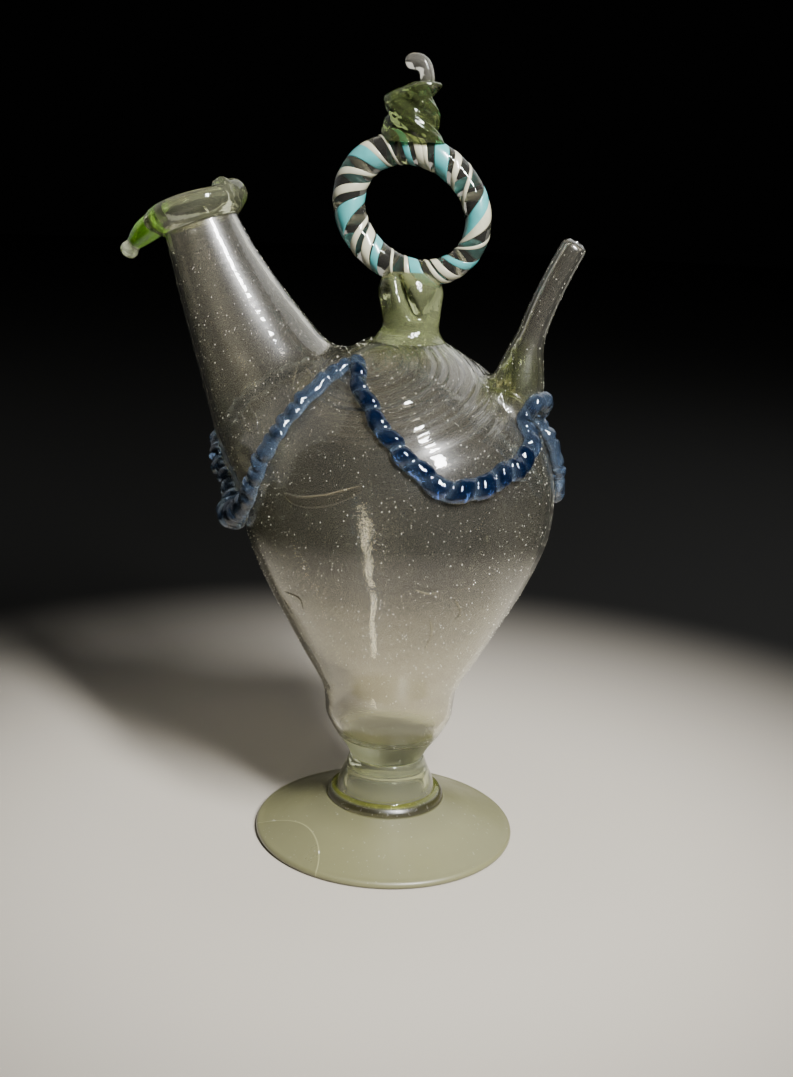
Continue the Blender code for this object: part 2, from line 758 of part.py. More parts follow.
def build_prunt(material, parent):
    """The green drop: a tapering tube that droops from the lip's outer side and ends in a bead."""
    centres, _ = fill_spout()
    along, across, _ = spout_frame(centres, len(centres) - 1)
    outward = across * np.sign(centres[-1][0] * across[0])
    edge = centres[-1] + LIP_RADIUS * outward + 0.45 * LIP_HEIGHT * along
    droop = np.array([-math.cos(PRUNT_DROOP), 0, -math.sin(PRUNT_DROOP)])
    start = edge - 0.9 * PRUNT_RADIUS * droop
    reach = PRUNT_LENGTH - BEAD_RADIUS
    path, radii = [], []
    for share, thick in ((0, 0.95), (0.28, 1.0), (0.55, 0.90), (0.78, 0.66), (0.92, 0.54), (1.0, 0.58)):
        path.append(start + share * reach * droop + 0.0012 * math.sin(math.pi * share) * along)
        radii.append(thick * PRUNT_RADIUS)
    for share in (0.35, 1.0, 1.55, 1.9):
        path.append(start + (reach + share * BEAD_RADIUS) * droop)
        radii.append(BEAD_RADIUS * math.sqrt(max(0.08, 1 - (share - 1) ** 2)))
    sections = round_sections(np.array(path), radii, PRUNT_SIDES)
    points, faces = swept(sections, path[0], path[-1] + 0.1 * BEAD_RADIUS * droop)
    obj = mesh_object("green_prunt", points, faces, material, parent)
    grown, grown_faces = lip_points(GAP)
    cut(obj, mesh_object("lip_seat_cutter", grown, grown_faces, None, parent))
    return obj


def ring_rise():
    """Half the height of the leaning oval that the ring's middle follows."""
    return math.hypot(RING_LONG * math.sin(RING_LEAN), RING_SHORT * math.cos(RING_LEAN))


def ring_centre():
    return np.array([RING_OUT, 0, post_top() - RING_SINK + RING_TUBE + ring_rise()])


def post_top():
    return crown_z() + GAP + POST_HEIGHT


def ring_points(tube):
    """A round tube, thicker on one side, carried round a leaning oval that is turned a little from the
    plane of the spouts."""
    level = np.array([math.cos(RING_TURN), math.sin(RING_TURN), 0])
    upright = np.array([0.0, 0.0, 1.0])
    long_way = math.cos(RING_LEAN) * level + math.sin(RING_LEAN) * upright
    short_way = math.cos(RING_LEAN) * upright - math.sin(RING_LEAN) * level
    normal = np.cross(level, upright)
    thick_way = math.cos(RING_SWELL_AT) * level + math.sin(RING_SWELL_AT) * upright
    angles = 2 * math.pi * np.arange(TUBE_SIDES) / TUBE_SIDES
    sections = []
    for turn in 2 * math.pi * np.arange(RING_STEPS) / RING_STEPS:
        c, s = math.cos(turn), math.sin(turn)
        centre = ring_centre() + RING_LONG * c * long_way + RING_SHORT * s * short_way
        outward = RING_SHORT * c * long_way + RING_LONG * s * short_way
        outward /= np.linalg.norm(outward)
        around = np.cos(angles)[:, None] * outward + np.sin(angles)[:, None] * normal
        sections.append(centre + (tube + RING_SWELL * (outward @ thick_way)) * around)
    return looped(sections)


def build_ring(material, parent):
    points, faces = ring_points(RING_TUBE)
    return mesh_object("ring_handle", points, faces, material, parent)


def seat_cutter(name, parent):
    points, faces = ring_points(RING_TUBE + GAP)
    return mesh_object(name, points, faces, None, parent)


def build_post(material, parent):
    """A twisted, grooved lump: wider at its foot and under the ring, with the ring's seat in its top."""
    bottom, top = crown_z() + GAP, post_top()
    angles = 2 * math.pi * np.arange(POST_SIDES) / POST_SIDES
    sections = []
    for share in np.linspace(0, 1, 8):
        foot = POST_FLARE * max(0, 1 - share / 0.25) ** 2
        head = 0.10 * POST_RADIUS * math.exp(-(((share - 0.74) / 0.18) ** 2))
        close = 0.25 * POST_RADIUS * max(0, (share - 0.85) / 0.15) ** 2
        groove = POST_GROOVE * math.sin(math.pi * min(1, max(0, share - 0.08) / 0.8))
        wave = groove * np.cos(POST_GROOVES * (angles - POST_TWIST * share))
        radius = (POST_RADIUS + foot + head - close) * (1 + wave)
        height = np.full(POST_SIDES, bottom + share * (top - bottom))
        out, deep = POST_OUT + radius * np.cos(angles), radius * np.sin(angles)
        sections.append(np.stack([out, deep, height], axis=1))
    points, faces = swept(sections, (POST_OUT, 0, bottom), (POST_OUT, 0, top))
    obj = mesh_object("handle_post", points, faces, material, parent)
    cut(obj, seat_cutter("post_seat_cutter", parent))
    return obj


def finial_path():
    """Points up the finial's middle: a gentle lean, a stem on the right, and the curl's arc over the top.

    Returns them with the lengths gone and each one's heading as an angle from upright."""
    base = ring_centre()[2] + ring_rise() + 0.4 * RING_TUBE
    tall = FINIAL_HEIGHT
    middle = np.array([CURL_OUT, base + tall - CURL_RADIUS])
    knots = [
        (-0.0004, base),
        (-0.0012, base + 0.20 * tall),
        (-0.0018, base + 0.40 * tall),
        (-0.0022, base + 0.56 * tall),
        (0.0004, base + 0.66 * tall),
        (middle[0] + 1.06 * CURL_RADIUS, base + 0.74 * tall),
    ]
    knots += [middle + CURL_RADIUS * np.array([math.cos(a), math.sin(a)]) for a in CURL_ARC]
    curve = smooth_curve(knots, 3)
    gone = np.concatenate([[0], np.cumsum(np.linalg.norm(np.diff(curve, axis=0), axis=1))])
    heading = np.gradient(curve, axis=0)
    return curve, gone, np.unwrap(np.arctan2(heading[:, 0], heading[:, 1]))


def build_finial(material, parent):
    """A ribbed lump twisted left-handed, a ridge each FINIAL_TIER up its side: level sections that taper
    upwards to a stem, then tilt to follow the arc of the curl to its rounded tip."""
    curve, gone, heading = finial_path()
    fade = np.clip(1 - gone / gone[-1] / FINIAL_WOUND, 0, 1)
    wound = np.minimum(1, 4 * fade)
    left = (gone[-1] - gone) / CURL_TIP
    thick = CURL_TUBE + (FINIAL_RADIUS - CURL_TUBE) * fade**0.3
    thick += (CURL_TIP - CURL_TUBE) * np.clip(2 - 0.7 * left, 0, 1)
    thick *= np.sqrt(1 - np.clip(1 - left, 0, 0.94) ** 2)
    tilt = (1 - wound) * np.minimum(heading, 0)
    turn = FINIAL_START - 2 * math.pi * gone / FINIAL_TIER
    angles = 2 * math.pi * np.arange(FINIAL_SIDES) / FINIAL_SIDES
    sections = []
    for i, (out, height) in enumerate(curve):
        bulge = thick[i] * (1 + FINIAL_RIDGE * wound[i] * np.cos(FINIAL_RIDGES * angles - turn[i]))
        wide = bulge * np.cos(angles)
        deep = (1 - 0.24 * wound[i]) * bulge * np.sin(angles)
        section = [out + math.cos(tilt[i]) * wide, deep, height - math.sin(tilt[i]) * wide]
        sections.append(np.stack(section, axis=1))
    start, end = ((out, 0, height) for out, height in (curve[0], curve[-1]))
    points, faces = swept(sections, start, end)
    obj = mesh_object("finial", points, faces, material, parent)
    cut(obj, seat_cutter("finial_seat_cutter", parent))
    return obj


def trail_centres(tree, count):
    """Evenly spaced points on the body's glass along the trail's route, and the route's length."""
    turns = np.array(TRAIL_ROUTE, float)
    whole_turn = np.array([360, 0])
    knots = np.vstack([turns[-1] + whole_turn, turns, turns[0] - whole_turn, turns[1] - whole_turn])
    steps = 24
    curve = smooth_curve(knots, steps)[steps:-steps]
    reach = 4 * BODY_RADIUS
    found = []
    for degrees, depth in curve[:-1]:
        angle, height = math.radians(degrees), crown_z() - depth
        outward = Vector((math.cos(angle), math.sin(angle), 0))
        found.append(tree.ray_cast(reach * outward + Vector((0, 0, height)), -outward)[0])
    found = np.array(found)
    for _ in range(6):
        found = (np.roll(found, 1, axis=0) + 2 * found + np.roll(found, -1, axis=0)) / 4
    round_again = np.vstack([found, found[0]])
    gone = np.concatenate([[0], np.cumsum(np.linalg.norm(np.diff(round_again, axis=0), axis=1))])
    even = np.linspace(0, gone[-1], count, endpoint=False)
    return np.stack([np.interp(even, gone, round_again[:, k]) for k in range(3)], axis=1), gone[-1]


def build_trail(tree, material, parent):
    """The trail's section carried round the route, its underside held just off the glass."""
    _, length = trail_centres(tree, 3)
    ribs = max(8, round(length / RIB_SPACING))
    centres, _ = trail_centres(tree, 2 * ribs)
    ahead = np.roll(centres, -1, axis=0) - np.roll(centres, 1, axis=0)
    normals = np.array([tree.find_nearest(Vector(centre))[1] for centre in centres])
    for _ in range(3):
        normals = (np.roll(normals, 1, axis=0) + 2 * normals + np.roll(normals, -1, axis=0)) / 4
    normals /= np.linalg.norm(normals, axis=1)[:, None]
    sections = []
    for index, (centre, heading, normal) in enumerate(zip(centres, ahead, normals)):
        across = np.array(Vector(heading).cross(Vector(normal)).normalized())
        swell = 1.0 if index % 2 else RIB_DEPTH
        beside = math.degrees(math.atan2(centre[1], centre[0])) - LUMP_ANGLE
        lump = math.exp(-((beside / LUMP_SPREAD) ** 2))
        low = min(1, (crown_z() - centre[2]) / FESTOON_DEPTH)
        width = TRAIL_PEAK_WIDTH + low * (TRAIL_WIDTH - TRAIL_PEAK_WIDTH)
        half = 0.5 * width * (0.92 + 0.08 * swell) * (1 + LUMP_WIDER * lump)
        tall = swell * TRAIL_HEIGHT * (1 + LUMP_TALLER * lump)
        section = []
        for side, rise in ((-0.65, 0), (-1, 0.5), (0, 1), (1, 0.5), (0.65, 0)):
            above = centre + side * half * across + 0.6 * TRAIL_HEIGHT * normal
            glass_point, glass_normal, _, _ = tree.find_nearest(Vector(above))
            away = np.array(glass_normal) if rise == 0 else normal
            section.append(np.array(glass_point) + (TRAIL_GAP + rise * tall) * away)
        sections.append(section)
    points, faces = looped(sections)
    return mesh_object("blue_trail", points, faces, material, parent)


def centre_on_table(parent, pieces):
    """Moves the jug's axis so that the origin lies midway between the jug's two ends."""
    low = min(v.co.x for piece in pieces for v in piece.data.vertices)
    high = max(v.co.x for piece in pieces for v in piece.data.vertices)
    parent.location.x = -(low + high) / 2


def main():
    clear_scene()
    bpy.context.scene.unit_settings.scale_length = 1.0
    axis = bpy.data.objects.new("jug_axis", None)
    bpy.context.collection.objects.link(axis)
    clear = glass("clear_glass", (0.80, 0.83, 0.74), 0.05, 0.9)
    hazy = glass("foot_glass", (0.62, 0.66, 0.54), 0.18, 0.7)
    pale_green = glass("green_tinted_glass", (0.66, 0.74, 0.45), 0.06, 0.8)
    green = glass("green_glass", (0.25, 0.55, 0.12), 0.08, 0.7)
    cobalt = glass("cobalt_glass", (0.03, 0.08, 0.28), 0.08, 0.5)
    cane = glass("twisted_cane", (0.62, 0.78, 0.76), 0.10, 0.2)
    glass_pieces, outer_face = build_glass(clear, axis)
    pieces = glass_pieces + [
        build_foot(hazy, axis),
        build_lip(clear, axis),
        build_prunt(green, axis),
        build_trail(outer_face, cobalt, axis),
        build_post(pale_green, axis),
        build_ring(cane, axis),
        build_finial(pale_green, axis),
    ]
    centre_on_table(axis, pieces)


main()
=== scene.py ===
"""Looks of a blown glass holy water jug, built around its CAD frame.

Laid out as a Blender add-on and run as a script. Every shape is worked out in the jug's own coordinates,
whose Z axis is the axis of body and foot, and is moved onto the frame when its mesh is made.
"""

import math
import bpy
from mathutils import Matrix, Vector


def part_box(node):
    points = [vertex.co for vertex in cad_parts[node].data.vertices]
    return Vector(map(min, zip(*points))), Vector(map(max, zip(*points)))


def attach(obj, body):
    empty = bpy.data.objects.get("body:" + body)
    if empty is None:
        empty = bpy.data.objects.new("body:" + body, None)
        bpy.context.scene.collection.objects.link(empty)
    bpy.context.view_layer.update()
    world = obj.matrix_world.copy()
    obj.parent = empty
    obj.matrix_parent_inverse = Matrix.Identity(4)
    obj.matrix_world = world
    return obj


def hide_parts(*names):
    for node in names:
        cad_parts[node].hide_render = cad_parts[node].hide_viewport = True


bl_info = {
    "name": "Blown Glass Water Jug",
    "version": (1, 0, 0),
    "blender": (4, 5, 0),
    "location": "View3D > Sidebar > Jug",
    "description": "Builds the glass pieces of a ring-handled holy water jug around its CAD frame",
    "category": "Object",
}

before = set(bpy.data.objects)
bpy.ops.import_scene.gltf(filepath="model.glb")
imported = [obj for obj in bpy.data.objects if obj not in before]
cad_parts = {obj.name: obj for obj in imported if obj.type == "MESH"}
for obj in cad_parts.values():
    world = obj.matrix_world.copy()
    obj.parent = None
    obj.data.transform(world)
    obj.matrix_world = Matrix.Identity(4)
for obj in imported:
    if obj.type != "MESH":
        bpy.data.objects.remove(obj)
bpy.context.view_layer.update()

import bmesh
import bpy
import numpy as np
from mathutils import Matrix

MM = 0.001
TAU = 2 * math.pi
Y = np.array([0.0, 1.0, 0.0])
Z = np.array([0.0, 0.0, 1.0])

# Places taken from the frame.
FOOT_LOW, FOOT_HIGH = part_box("foot")
AXIS_X = (FOOT_LOW[0] + FOOT_HIGH[0]) / 2
WAIST_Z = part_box("vessel")[0][2]
CROWN_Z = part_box("handle_post")[0][2] - 0.3 * MM
POST_TOP = CROWN_Z + 25.5 * MM

# Sizes of the glass, as in the part's source. A pair is (out from the axis, up from the crown).
WAIST_RADIUS, KNOP_RADIUS, KNOP_HEIGHT = 14.7 * MM, 25.7 * MM, 30.0 * MM
BODY_RADIUS, BODY_FLOOR, CROWN_RADIUS = 59.3 * MM, 8.5 * MM, 14.8 * MM
FILL_BLEND, FILL_ROOT, FILL_MOUTH = 12.0 * MM, 30.2 * MM, 14.3 * MM
FILL_FROM, FILL_TO = (44.0 * MM, -35.5 * MM), (84.6 * MM, 38.2 * MM)
POUR_BLEND, POUR_ROOT, POUR_TIP, POUR_HOLE = 6.0 * MM, 9.2 * MM, 4.6 * MM, 1.6 * MM
POUR_FROM, POUR_TO = (43.6 * MM, -16.2 * MM), (60.5 * MM, 37.3 * MM)
LIP_RADIUS, LIP_HEIGHT, LIP_INSIDE = 20.5 * MM, 10.0 * MM, 12.0 * MM
LIP_SKIRT, LIP_GAP = 0.7 * MM, 0.35 * MM
# The green drop leaves the lip's outer side, slanting down, and begins inside the lip.
DROP_SLANT, DROP_LONG, DROP_BOW, DROP_INSIDE = math.radians(43), 20.7 * MM, 1.2 * MM, 4.5 * MM
# Its radius in millimetres at shares of its length, down to the neck and out again for the end bead.
DROP_RADII = (
    (0, 4.7), (0.2, 5.0), (0.42, 4.7), (0.6, 3.8), (0.7, 3.1), (0.76, 3.0), (0.84, 3.6), (0.92, 3.4),
    (0.97, 2.2), (1, 0.5),
)
# The post: its place beside the axis, its radius in the middle, how far it swells at foot and head, how far
# its top draws in, and how far its grooves climb round it.
POST_OUT, POST_RADIUS, POST_FOOT, POST_HEAD, POST_TOP_IN = 1.3 * MM, 10.6 * MM, 3.0 * MM, 1.1 * MM, 2.7 * MM
POST_TWIST = math.radians(75)
RING_LONG, RING_SHORT, RING_TUBE, RING_SINK, RING_OUT = 25.0 * MM, 20.8 * MM, 5.5 * MM, 6.0 * MM, 0.7 * MM
RING_LEAN, RING_TURN = math.radians(-30), math.radians(8)
# Half the height that the middle line of the leaning oval reaches.
RING_RISE = math.hypot(RING_LONG * math.sin(RING_LEAN), RING_SHORT * math.cos(RING_LEAN))
# The cane's threads: where each begins, as a share of a turn round the cane, and its width in millimetres.
THREADS = {"ring_turquoise_thread": ((0.0, 4.8),), "ring_white_threads": ((0.28, 3.1), (0.58, 1.8))}
# The ring's tube is thicker by this much at its upper left, and thinner across from there.
RING_SWELL, RING_SWELL_AT = 0.7 * MM, math.radians(150)
FOOT_RADIUS, FOOT_EDGE, FOOT_HEIGHT = 52.0 * MM, 3.0 * MM, 33.0 * MM
CONE_HEIGHT, STEP_RADIUS, STEP_HEIGHT, COLLAR_RADIUS = 15.2 * MM, 23.3 * MM, 3.7 * MM, 19.9 * MM
# Solid glass over the foot's hollow.
FOOT_CEILING = 4.0 * MM
# The crack in the foot is part of a circle seen from above.
CRACK_CENTRE, CRACK_RADIUS = (-41.2 * MM, -54.6 * MM), 32.1 * MM
# The finial: its height, its widest radius, its wound part as a share of its length, and the rise of a turn.
FINIAL_TALL, FINIAL_RADIUS, FINIAL_WOUND, FINIAL_TIER = 27.5 * MM, 10.5 * MM, 0.65, 11.8 * MM
# Its leaning line: millimetres out from the axis at shares of its height.
FINIAL_LINE = ((-0.4, 0), (-1.2, 0.2), (-1.8, 0.4), (-2.2, 0.56), (0.4, 0.66))
# The curl: radius of its stem and of its tip, its middle's place beside the axis, and its own radius.
CURL_TUBE, CURL_TIP, CURL_OUT, CURL_RADIUS = 2.6 * MM, 3.0 * MM, -0.7 * MM, 4.1 * MM

# The trail's turns: (angle round the axis in degrees, depth below the crown in millimetres).
TRAIL_ROUTE = (
    (-6, 17.2), (-9, 22.5), (-11, 29.0), (-16, 34.0), (-25, 37.7), (-36, 40.7), (-45, 43.6), (-53, 44.3),
    (-61, 40.8), (-68, 35.0), (-75, 29.2), (-83, 22.2), (-92, 16.2), (-100, 11.8), (-109, 7.0), (-119, 9.5),
    (-122.5, 16.5), (-125, 24.5), (-126.5, 33.0), (-129.5, 41.5), (-133, 51.5), (-140, 60.0), (-149, 65.5),
    (-158, 64.5), (-164, 58.0), (-170, 50.0), (-179, 42.5), (-190, 34.0), (-202, 24.8), (-216, 16.0),
    (-233, 11.2), (-250, 13.0), (-268, 22.1), (-288, 37.2), (-310, 51.2), (-332, 57.2), (-345, 51.0),
    (-350, 40.0), (-352, 31.0), (-355, 23.5), (-359, 18.5),
)
# The thick lump at the turn under the filling spout: its angle and spread in degrees.
LUMP_ANGLE, LUMP_SPREAD = -153, 13
# Where the trail's ribs are long and deep, from and to in degrees: in front and behind, between the strands.
LONG_RIBS = ((-116, -8), (-310, -225))
# How far apart the ribs are on the side strands and elsewhere, and where the trail hangs lowest.
STRAND_RIB, FRONT_RIB, TRAIL_LOWEST = 4.7 * MM, 8.3 * MM, 45 * MM

# Marks drawn on the wall with the glass: half width and height in millimetres, then (angle, depth) turns as
# above. A long flat blister, folds by the filling spout's root, short cords and curls, and one scratch.
WALL_MARKS = (
    (2.4, 0.6, (-115, 50.2), (-108, 51.5), (-98, 49.7), (-90, 46.5), (-83.5, 43.2)),
    (0.5, 0.5, (-151.5, 9.9), (-145.6, 14.1), (-139.5, 18.5)),
    (0.5, 0.5, (-149.4, 10.4), (-143, 12.0), (-137.1, 13.3)),
    (0.7, 0.5, (-152.6, 27.1), (-149, 32.0), (-144.3, 34.5)),
    (0.7, 0.5, (-149.4, 25.7), (-145, 29.4), (-142.5, 33.4)),
    (0.5, 0.4, (-64.5, 79.5), (-59.6, 81.2), (-55.1, 80.5)),
    (0.5, 0.4, (-48.3, 84.4), (-43.8, 90.1), (-45.4, 93.4)),
    (0.4, 0.3, (-56.7, 92.5), (-54, 99.6), (-55.9, 106.6)),
    (0.6, 0.4, (-123.8, 89.8), (-117, 89.5), (-113.7, 90.6), (-114.3, 95.0)),
    (0.6, 0.4, (-127.4, 94.2), (-127, 97.0), (-126.2, 99.8)),
    (0.9, 0.6, (-16, 11.5), (-12.5, 14.5), (-9, 18.0)),
    (0.25, 0.25, (-49.1, 81.4), (-45, 79.7), (-40.5, 77.7)),
)

# The stage, in metres and degrees: the floor's rings, and the height on the axis that the soft boxes face.
FLOOR_RINGS, STAGE_MIDDLE, SOFTBOX_AWAY = (0.12, 0.25, 0.4, 0.6, 0.9, 1.5, 2.5, 4.0), 0.14, 1.3
# Each soft box: azimuth and elevation from the jug, power in watts, width and height.
SOFTBOXES = {
    "key_softbox": (50, 42, 78, 0.16, 0.704),
    "left_softbox": (-100, 30, 2.6, 1.6, 1.6),
    "back_softbox": (165, 40, 5, 1.2, 1.2),
}
# The camera's place from the jug's axis, its azimuth, height angle and roll, and its lens in millimetres.
CAMERA_PLACE, CAMERA_LENS = (0.1592, -0.4899, 0.26215), 46.16
CAMERA_YAW, CAMERA_PITCH, CAMERA_ROLL = 18, 15.2, math.radians(2.6)


def linear(hex_colour):
    """sRGB hex to the linear red, green and blue that shaders take."""
    values = [int(hex_colour[i : i + 2], 16) / 255 for i in (1, 3, 5)]
    return tuple(v / 12.92 if v <= 0.04045 else ((v + 0.055) / 1.055) ** 2.4 for v in values)


def halfway(first, second):
    """The colour in the middle between two."""
    return [0.5 * (a + b) for a, b in zip(first, second)]


# Settings that a user would change


def length(name, description, default, low, high):
    """The property of a length, given in millimetres."""
    return bpy.props.FloatProperty(
        name=name, description=description, default=default * MM, min=low * MM, max=high * MM,
        subtype="DISTANCE", unit="LENGTH",
    )


def colour(name, description, hex_colour):
    """The property of a colour."""
    return bpy.props.FloatVectorProperty(
        name=name, description=description, default=linear(hex_colour), subtype="COLOR", min=0, max=1
    )


class JugSizes(bpy.types.PropertyGroup):
    """Sizes of the jug's glass that can be changed before its pieces are built."""

    wall: length("Wall", "Thickness of the blown wall", 2.0, 1.0, 3.0)
    unevenness: length("Unevenness", "How far the hand-blown wall strays from its true shape", 0.12, 0.0, 0.4)
    trail_width: length("Trail width", "Width of the blue trail where it hangs lowest", 9.2, 6.0, 9.8)
    trail_peak: length("Trail width at its peaks", "Width of the blue trail at its highest", 6.0, 4.0, 8.0)
    trail_height: length("Trail height", "How far the trail's lumps stand off the wall", 5.2, 2.0, 5.6)
    cane_turns: bpy.props.IntProperty(
        name="Cane turns", description="Turns of the threads round the ring's cane", default=8, min=4, max=20
    )
    seeds: bpy.props.IntProperty(
        name="Seeds", description="Number of small burst bubbles on the wall", default=9000, min=1, max=12000
    )


class JugColours(bpy.types.PropertyGroup):
    """Colours of the jug's glasses."""

    clear: colour("Clear glass", "Tint of body, spouts and lip", "#EBE7D8")
    hazy: colour("Foot glass", "Milky grey-green of the foot", "#86845F")
    tinted: colour("Tinted glass", "Yellow-green of the post and of thick glass", "#DAE3A8")
    darker: colour("Finial glass", "Darker green of the thick finial", "#8E9C63")
    green: colour("Green glass", "Green of the drop on the lip", "#9AD04A")
    cobalt: colour("Cobalt glass", "Blue of the trail's thick lumps", "#1B345E")
    cobalt_thin: colour("Thin cobalt", "Pale blue where the trail is thin", "#A9C2DE")
    white: colour("White thread", "Opaque white of the cane", "#BDBAA0")
    turquoise: colour("Turquoise thread", "Opaque turquoise of the cane", "#4F9F9E")


# Curves and grids


def smooth_curve(knots, steps, closed=False):
    """Catmull-Rom curve: between knots b and c, with neighbours a and d,
    (2b + (c-a)t + (2a-5b+4c-d)t^2 + (3b-a-3c+d)t^3) / 2."""
    knots = np.asarray(knots, float)
    if closed:
        a, b, c, d = (np.roll(knots, k, axis=0) for k in (1, 0, -1, -2))
    else:
        padded = np.vstack([2 * knots[0] - knots[1], knots, 2 * knots[-1] - knots[-2]])
        a, b, c, d = padded[:-3], padded[1:-2], padded[2:-1], padded[3:]
    t = (np.arange(steps) / steps)[None, :, None]
    a, b, c, d = (part[:, None, :] for part in (a, b, c, d))
    curve = 0.5 * (2 * b + (c - a) * t + (2 * a - 5 * b + 4 * c - d) * t**2 + (3 * b - a - 3 * c + d) * t**3)
    curve = curve.reshape(-1, knots.shape[1])
    return curve if closed else np.vstack([curve, knots[-1]])


def evenly(path, count, closed=False):
    """The path's points moved to equal steps of its length, and that length."""
    whole = np.vstack([path, path[:1]]) if closed else path
    gone = np.concatenate([[0], np.cumsum(np.linalg.norm(np.diff(whole, axis=0), axis=1))])
    at = np.linspace(0, gone[-1], count, endpoint=not closed)
    return np.stack([np.interp(at, gone, whole[:, k]) for k in range(whole.shape[1])], axis=1), gone[-1]


def unit(vectors):
    return vectors / np.linalg.norm(vectors, axis=-1, keepdims=True)


def ease(x):
    """Smooth step from 0 to 1: 3x^2 - 2x^3, held at its ends."""
    x = np.clip(x, 0, 1)
    return x * x * (3 - 2 * x)


def bell(x, centre, width):
    """Gaussian hump of height 1."""
    return np.exp(-(((x - centre) / width) ** 2))


def round_turn(count):
    """Angles of count equal steps round a whole turn."""
    return TAU * np.arange(count) / count


def turned(outline, count):
    """The (radius, height) outline turned about Z: radius (cos a, sin a) for a row of count angles a."""
    angles = round_turn(count)
    ring = np.stack([np.cos(angles), np.sin(angles), np.zeros(count)], axis=1)
    return outline[:, 0, None, None] * ring + outline[:, 1, None, None] * Z


def to_steps(points, path):
    """Distance from each point to each straight step of a path, and how far along the step, from 0 to 1."""
    start, step = path[:-1], np.diff(path, axis=0)
    offset = points[:, None, :] - start
    along = np.clip((offset * step).sum(axis=2) / (step**2).sum(axis=1), 0, 1)
    return np.linalg.norm(offset - along[:, :, None] * step, axis=2), along


def read(items, key, per_item=1, kind=float):
    """A value of each of a mesh's items as an array, with a row for each item where it has several."""
    values = np.empty(len(items) * per_item, kind)
    items.foreach_get(key, values)
    return values.reshape(-1, per_item) if per_item > 1 else values


class Skin:
    """Gathers grids of points and the faces between their rows, and turns them into one mesh."""

    def __init__(self):
        self.points, self.quads, self.fans, self.count = [], [], [], 0

    def grid(self, points):
        """Adds rows of points and returns their numbers, in the same rows."""
        points = np.asarray(points, float)
        self.points.append(points.reshape(-1, 3))
        numbers = self.count + np.arange(points.shape[0] * points.shape[1]).reshape(points.shape[:2])
        self.count += numbers.size
        return numbers

    def weave(self, *rows, keep=None):
        """Quads between neighbouring rows of numbers, each row closed on itself. keep picks some of them."""
        numbers = np.vstack(rows)
        following = np.roll(numbers, -1, axis=1)
        quads = np.stack([numbers[:-1], following[:-1], following[1:], numbers[1:]], axis=2)
        self.quads.append(quads[keep] if keep is not None else quads.reshape(-1, 4))

    def close(self, ring, point):
        """Fans a ring of points about one more point."""
        middle = self.grid(np.reshape(point, (1, 1, 3)))[0, 0]
        self.fans.append(np.stack([ring, np.roll(ring, -1), np.full(len(ring), middle)], axis=1))

    def hoop(self, points):
        """A grid whose last row joins up with its first."""
        numbers = self.grid(points)
        self.weave(numbers, numbers[:1])

    def capped(self, points, first, last):
        """A grid closed by one point before its first row and one after its last."""
        numbers = self.grid(points)
        self.weave(numbers)
        self.close(numbers[0], first)
        self.close(numbers[-1], last)

    def mesh(self, name, shares=None):
        """The mesh, moved onto the frame, its unused points dropped and its faces turned outwards."""
        points = np.vstack(self.points)
        points[:, 0] += AXIS_X
        quads = np.vstack(self.quads) if self.quads else np.empty((0, 4), int)
        fans = np.vstack(self.fans) if self.fans else np.empty((0, 3), int)
        used = np.unique(np.concatenate([quads.ravel(), fans.ravel()]))
        place = np.zeros(len(points), int)
        place[used] = np.arange(len(used))
        loops = np.concatenate([place[quads].ravel(), place[fans].ravel()])
        sizes = np.concatenate([np.full(len(quads), 4), np.full(len(fans), 3)])
        mesh = bpy.data.meshes.new(name)
        mesh.vertices.add(len(used))
        mesh.vertices.foreach_set("co", points[used].ravel())
        mesh.loops.add(len(loops))
        mesh.loops.foreach_set("vertex_index", loops)
        mesh.polygons.add(len(sizes))
        mesh.polygons.foreach_set("loop_start", np.concatenate([[0], np.cumsum(sizes)[:-1]]))
        mesh.update(calc_edges=True)
        work = bmesh.new()
        work.from_mesh(mesh)
        bmesh.ops.recalc_face_normals(work, faces=work.faces[:])
        work.to_mesh(mesh)
        work.free()
        for key, values in (shares or {}).items():
            mesh.attributes.new(key, "FLOAT", "POINT").data.foreach_set("value", values[used])
        mesh.shade_smooth()
        return mesh


def place(name, mesh, material, slot, *nodes):
    """An object at the origin for the mesh: it rides on the jug and stands for the CAD nodes."""
    piece = bpy.data.objects.new(name, mesh)
    bpy.context.scene.collection.objects.link(piece)
    mesh.materials.append(material)
    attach(piece, "root")
    if nodes:
        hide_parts(*nodes)
    return piece


def ruffle(mesh, amount):
    """Moves every point along its normal by amount(points), in the jug's own coordinates."""
    points, normals = read(mesh.vertices, "co", 3), read(mesh.vertex_normals, "vector", 3)
    moved = points + normals * amount(points - [AXIS_X, 0, 0])[:, None]
    mesh.vertices.foreach_set("co", moved.ravel())
    mesh.update()


# Materials

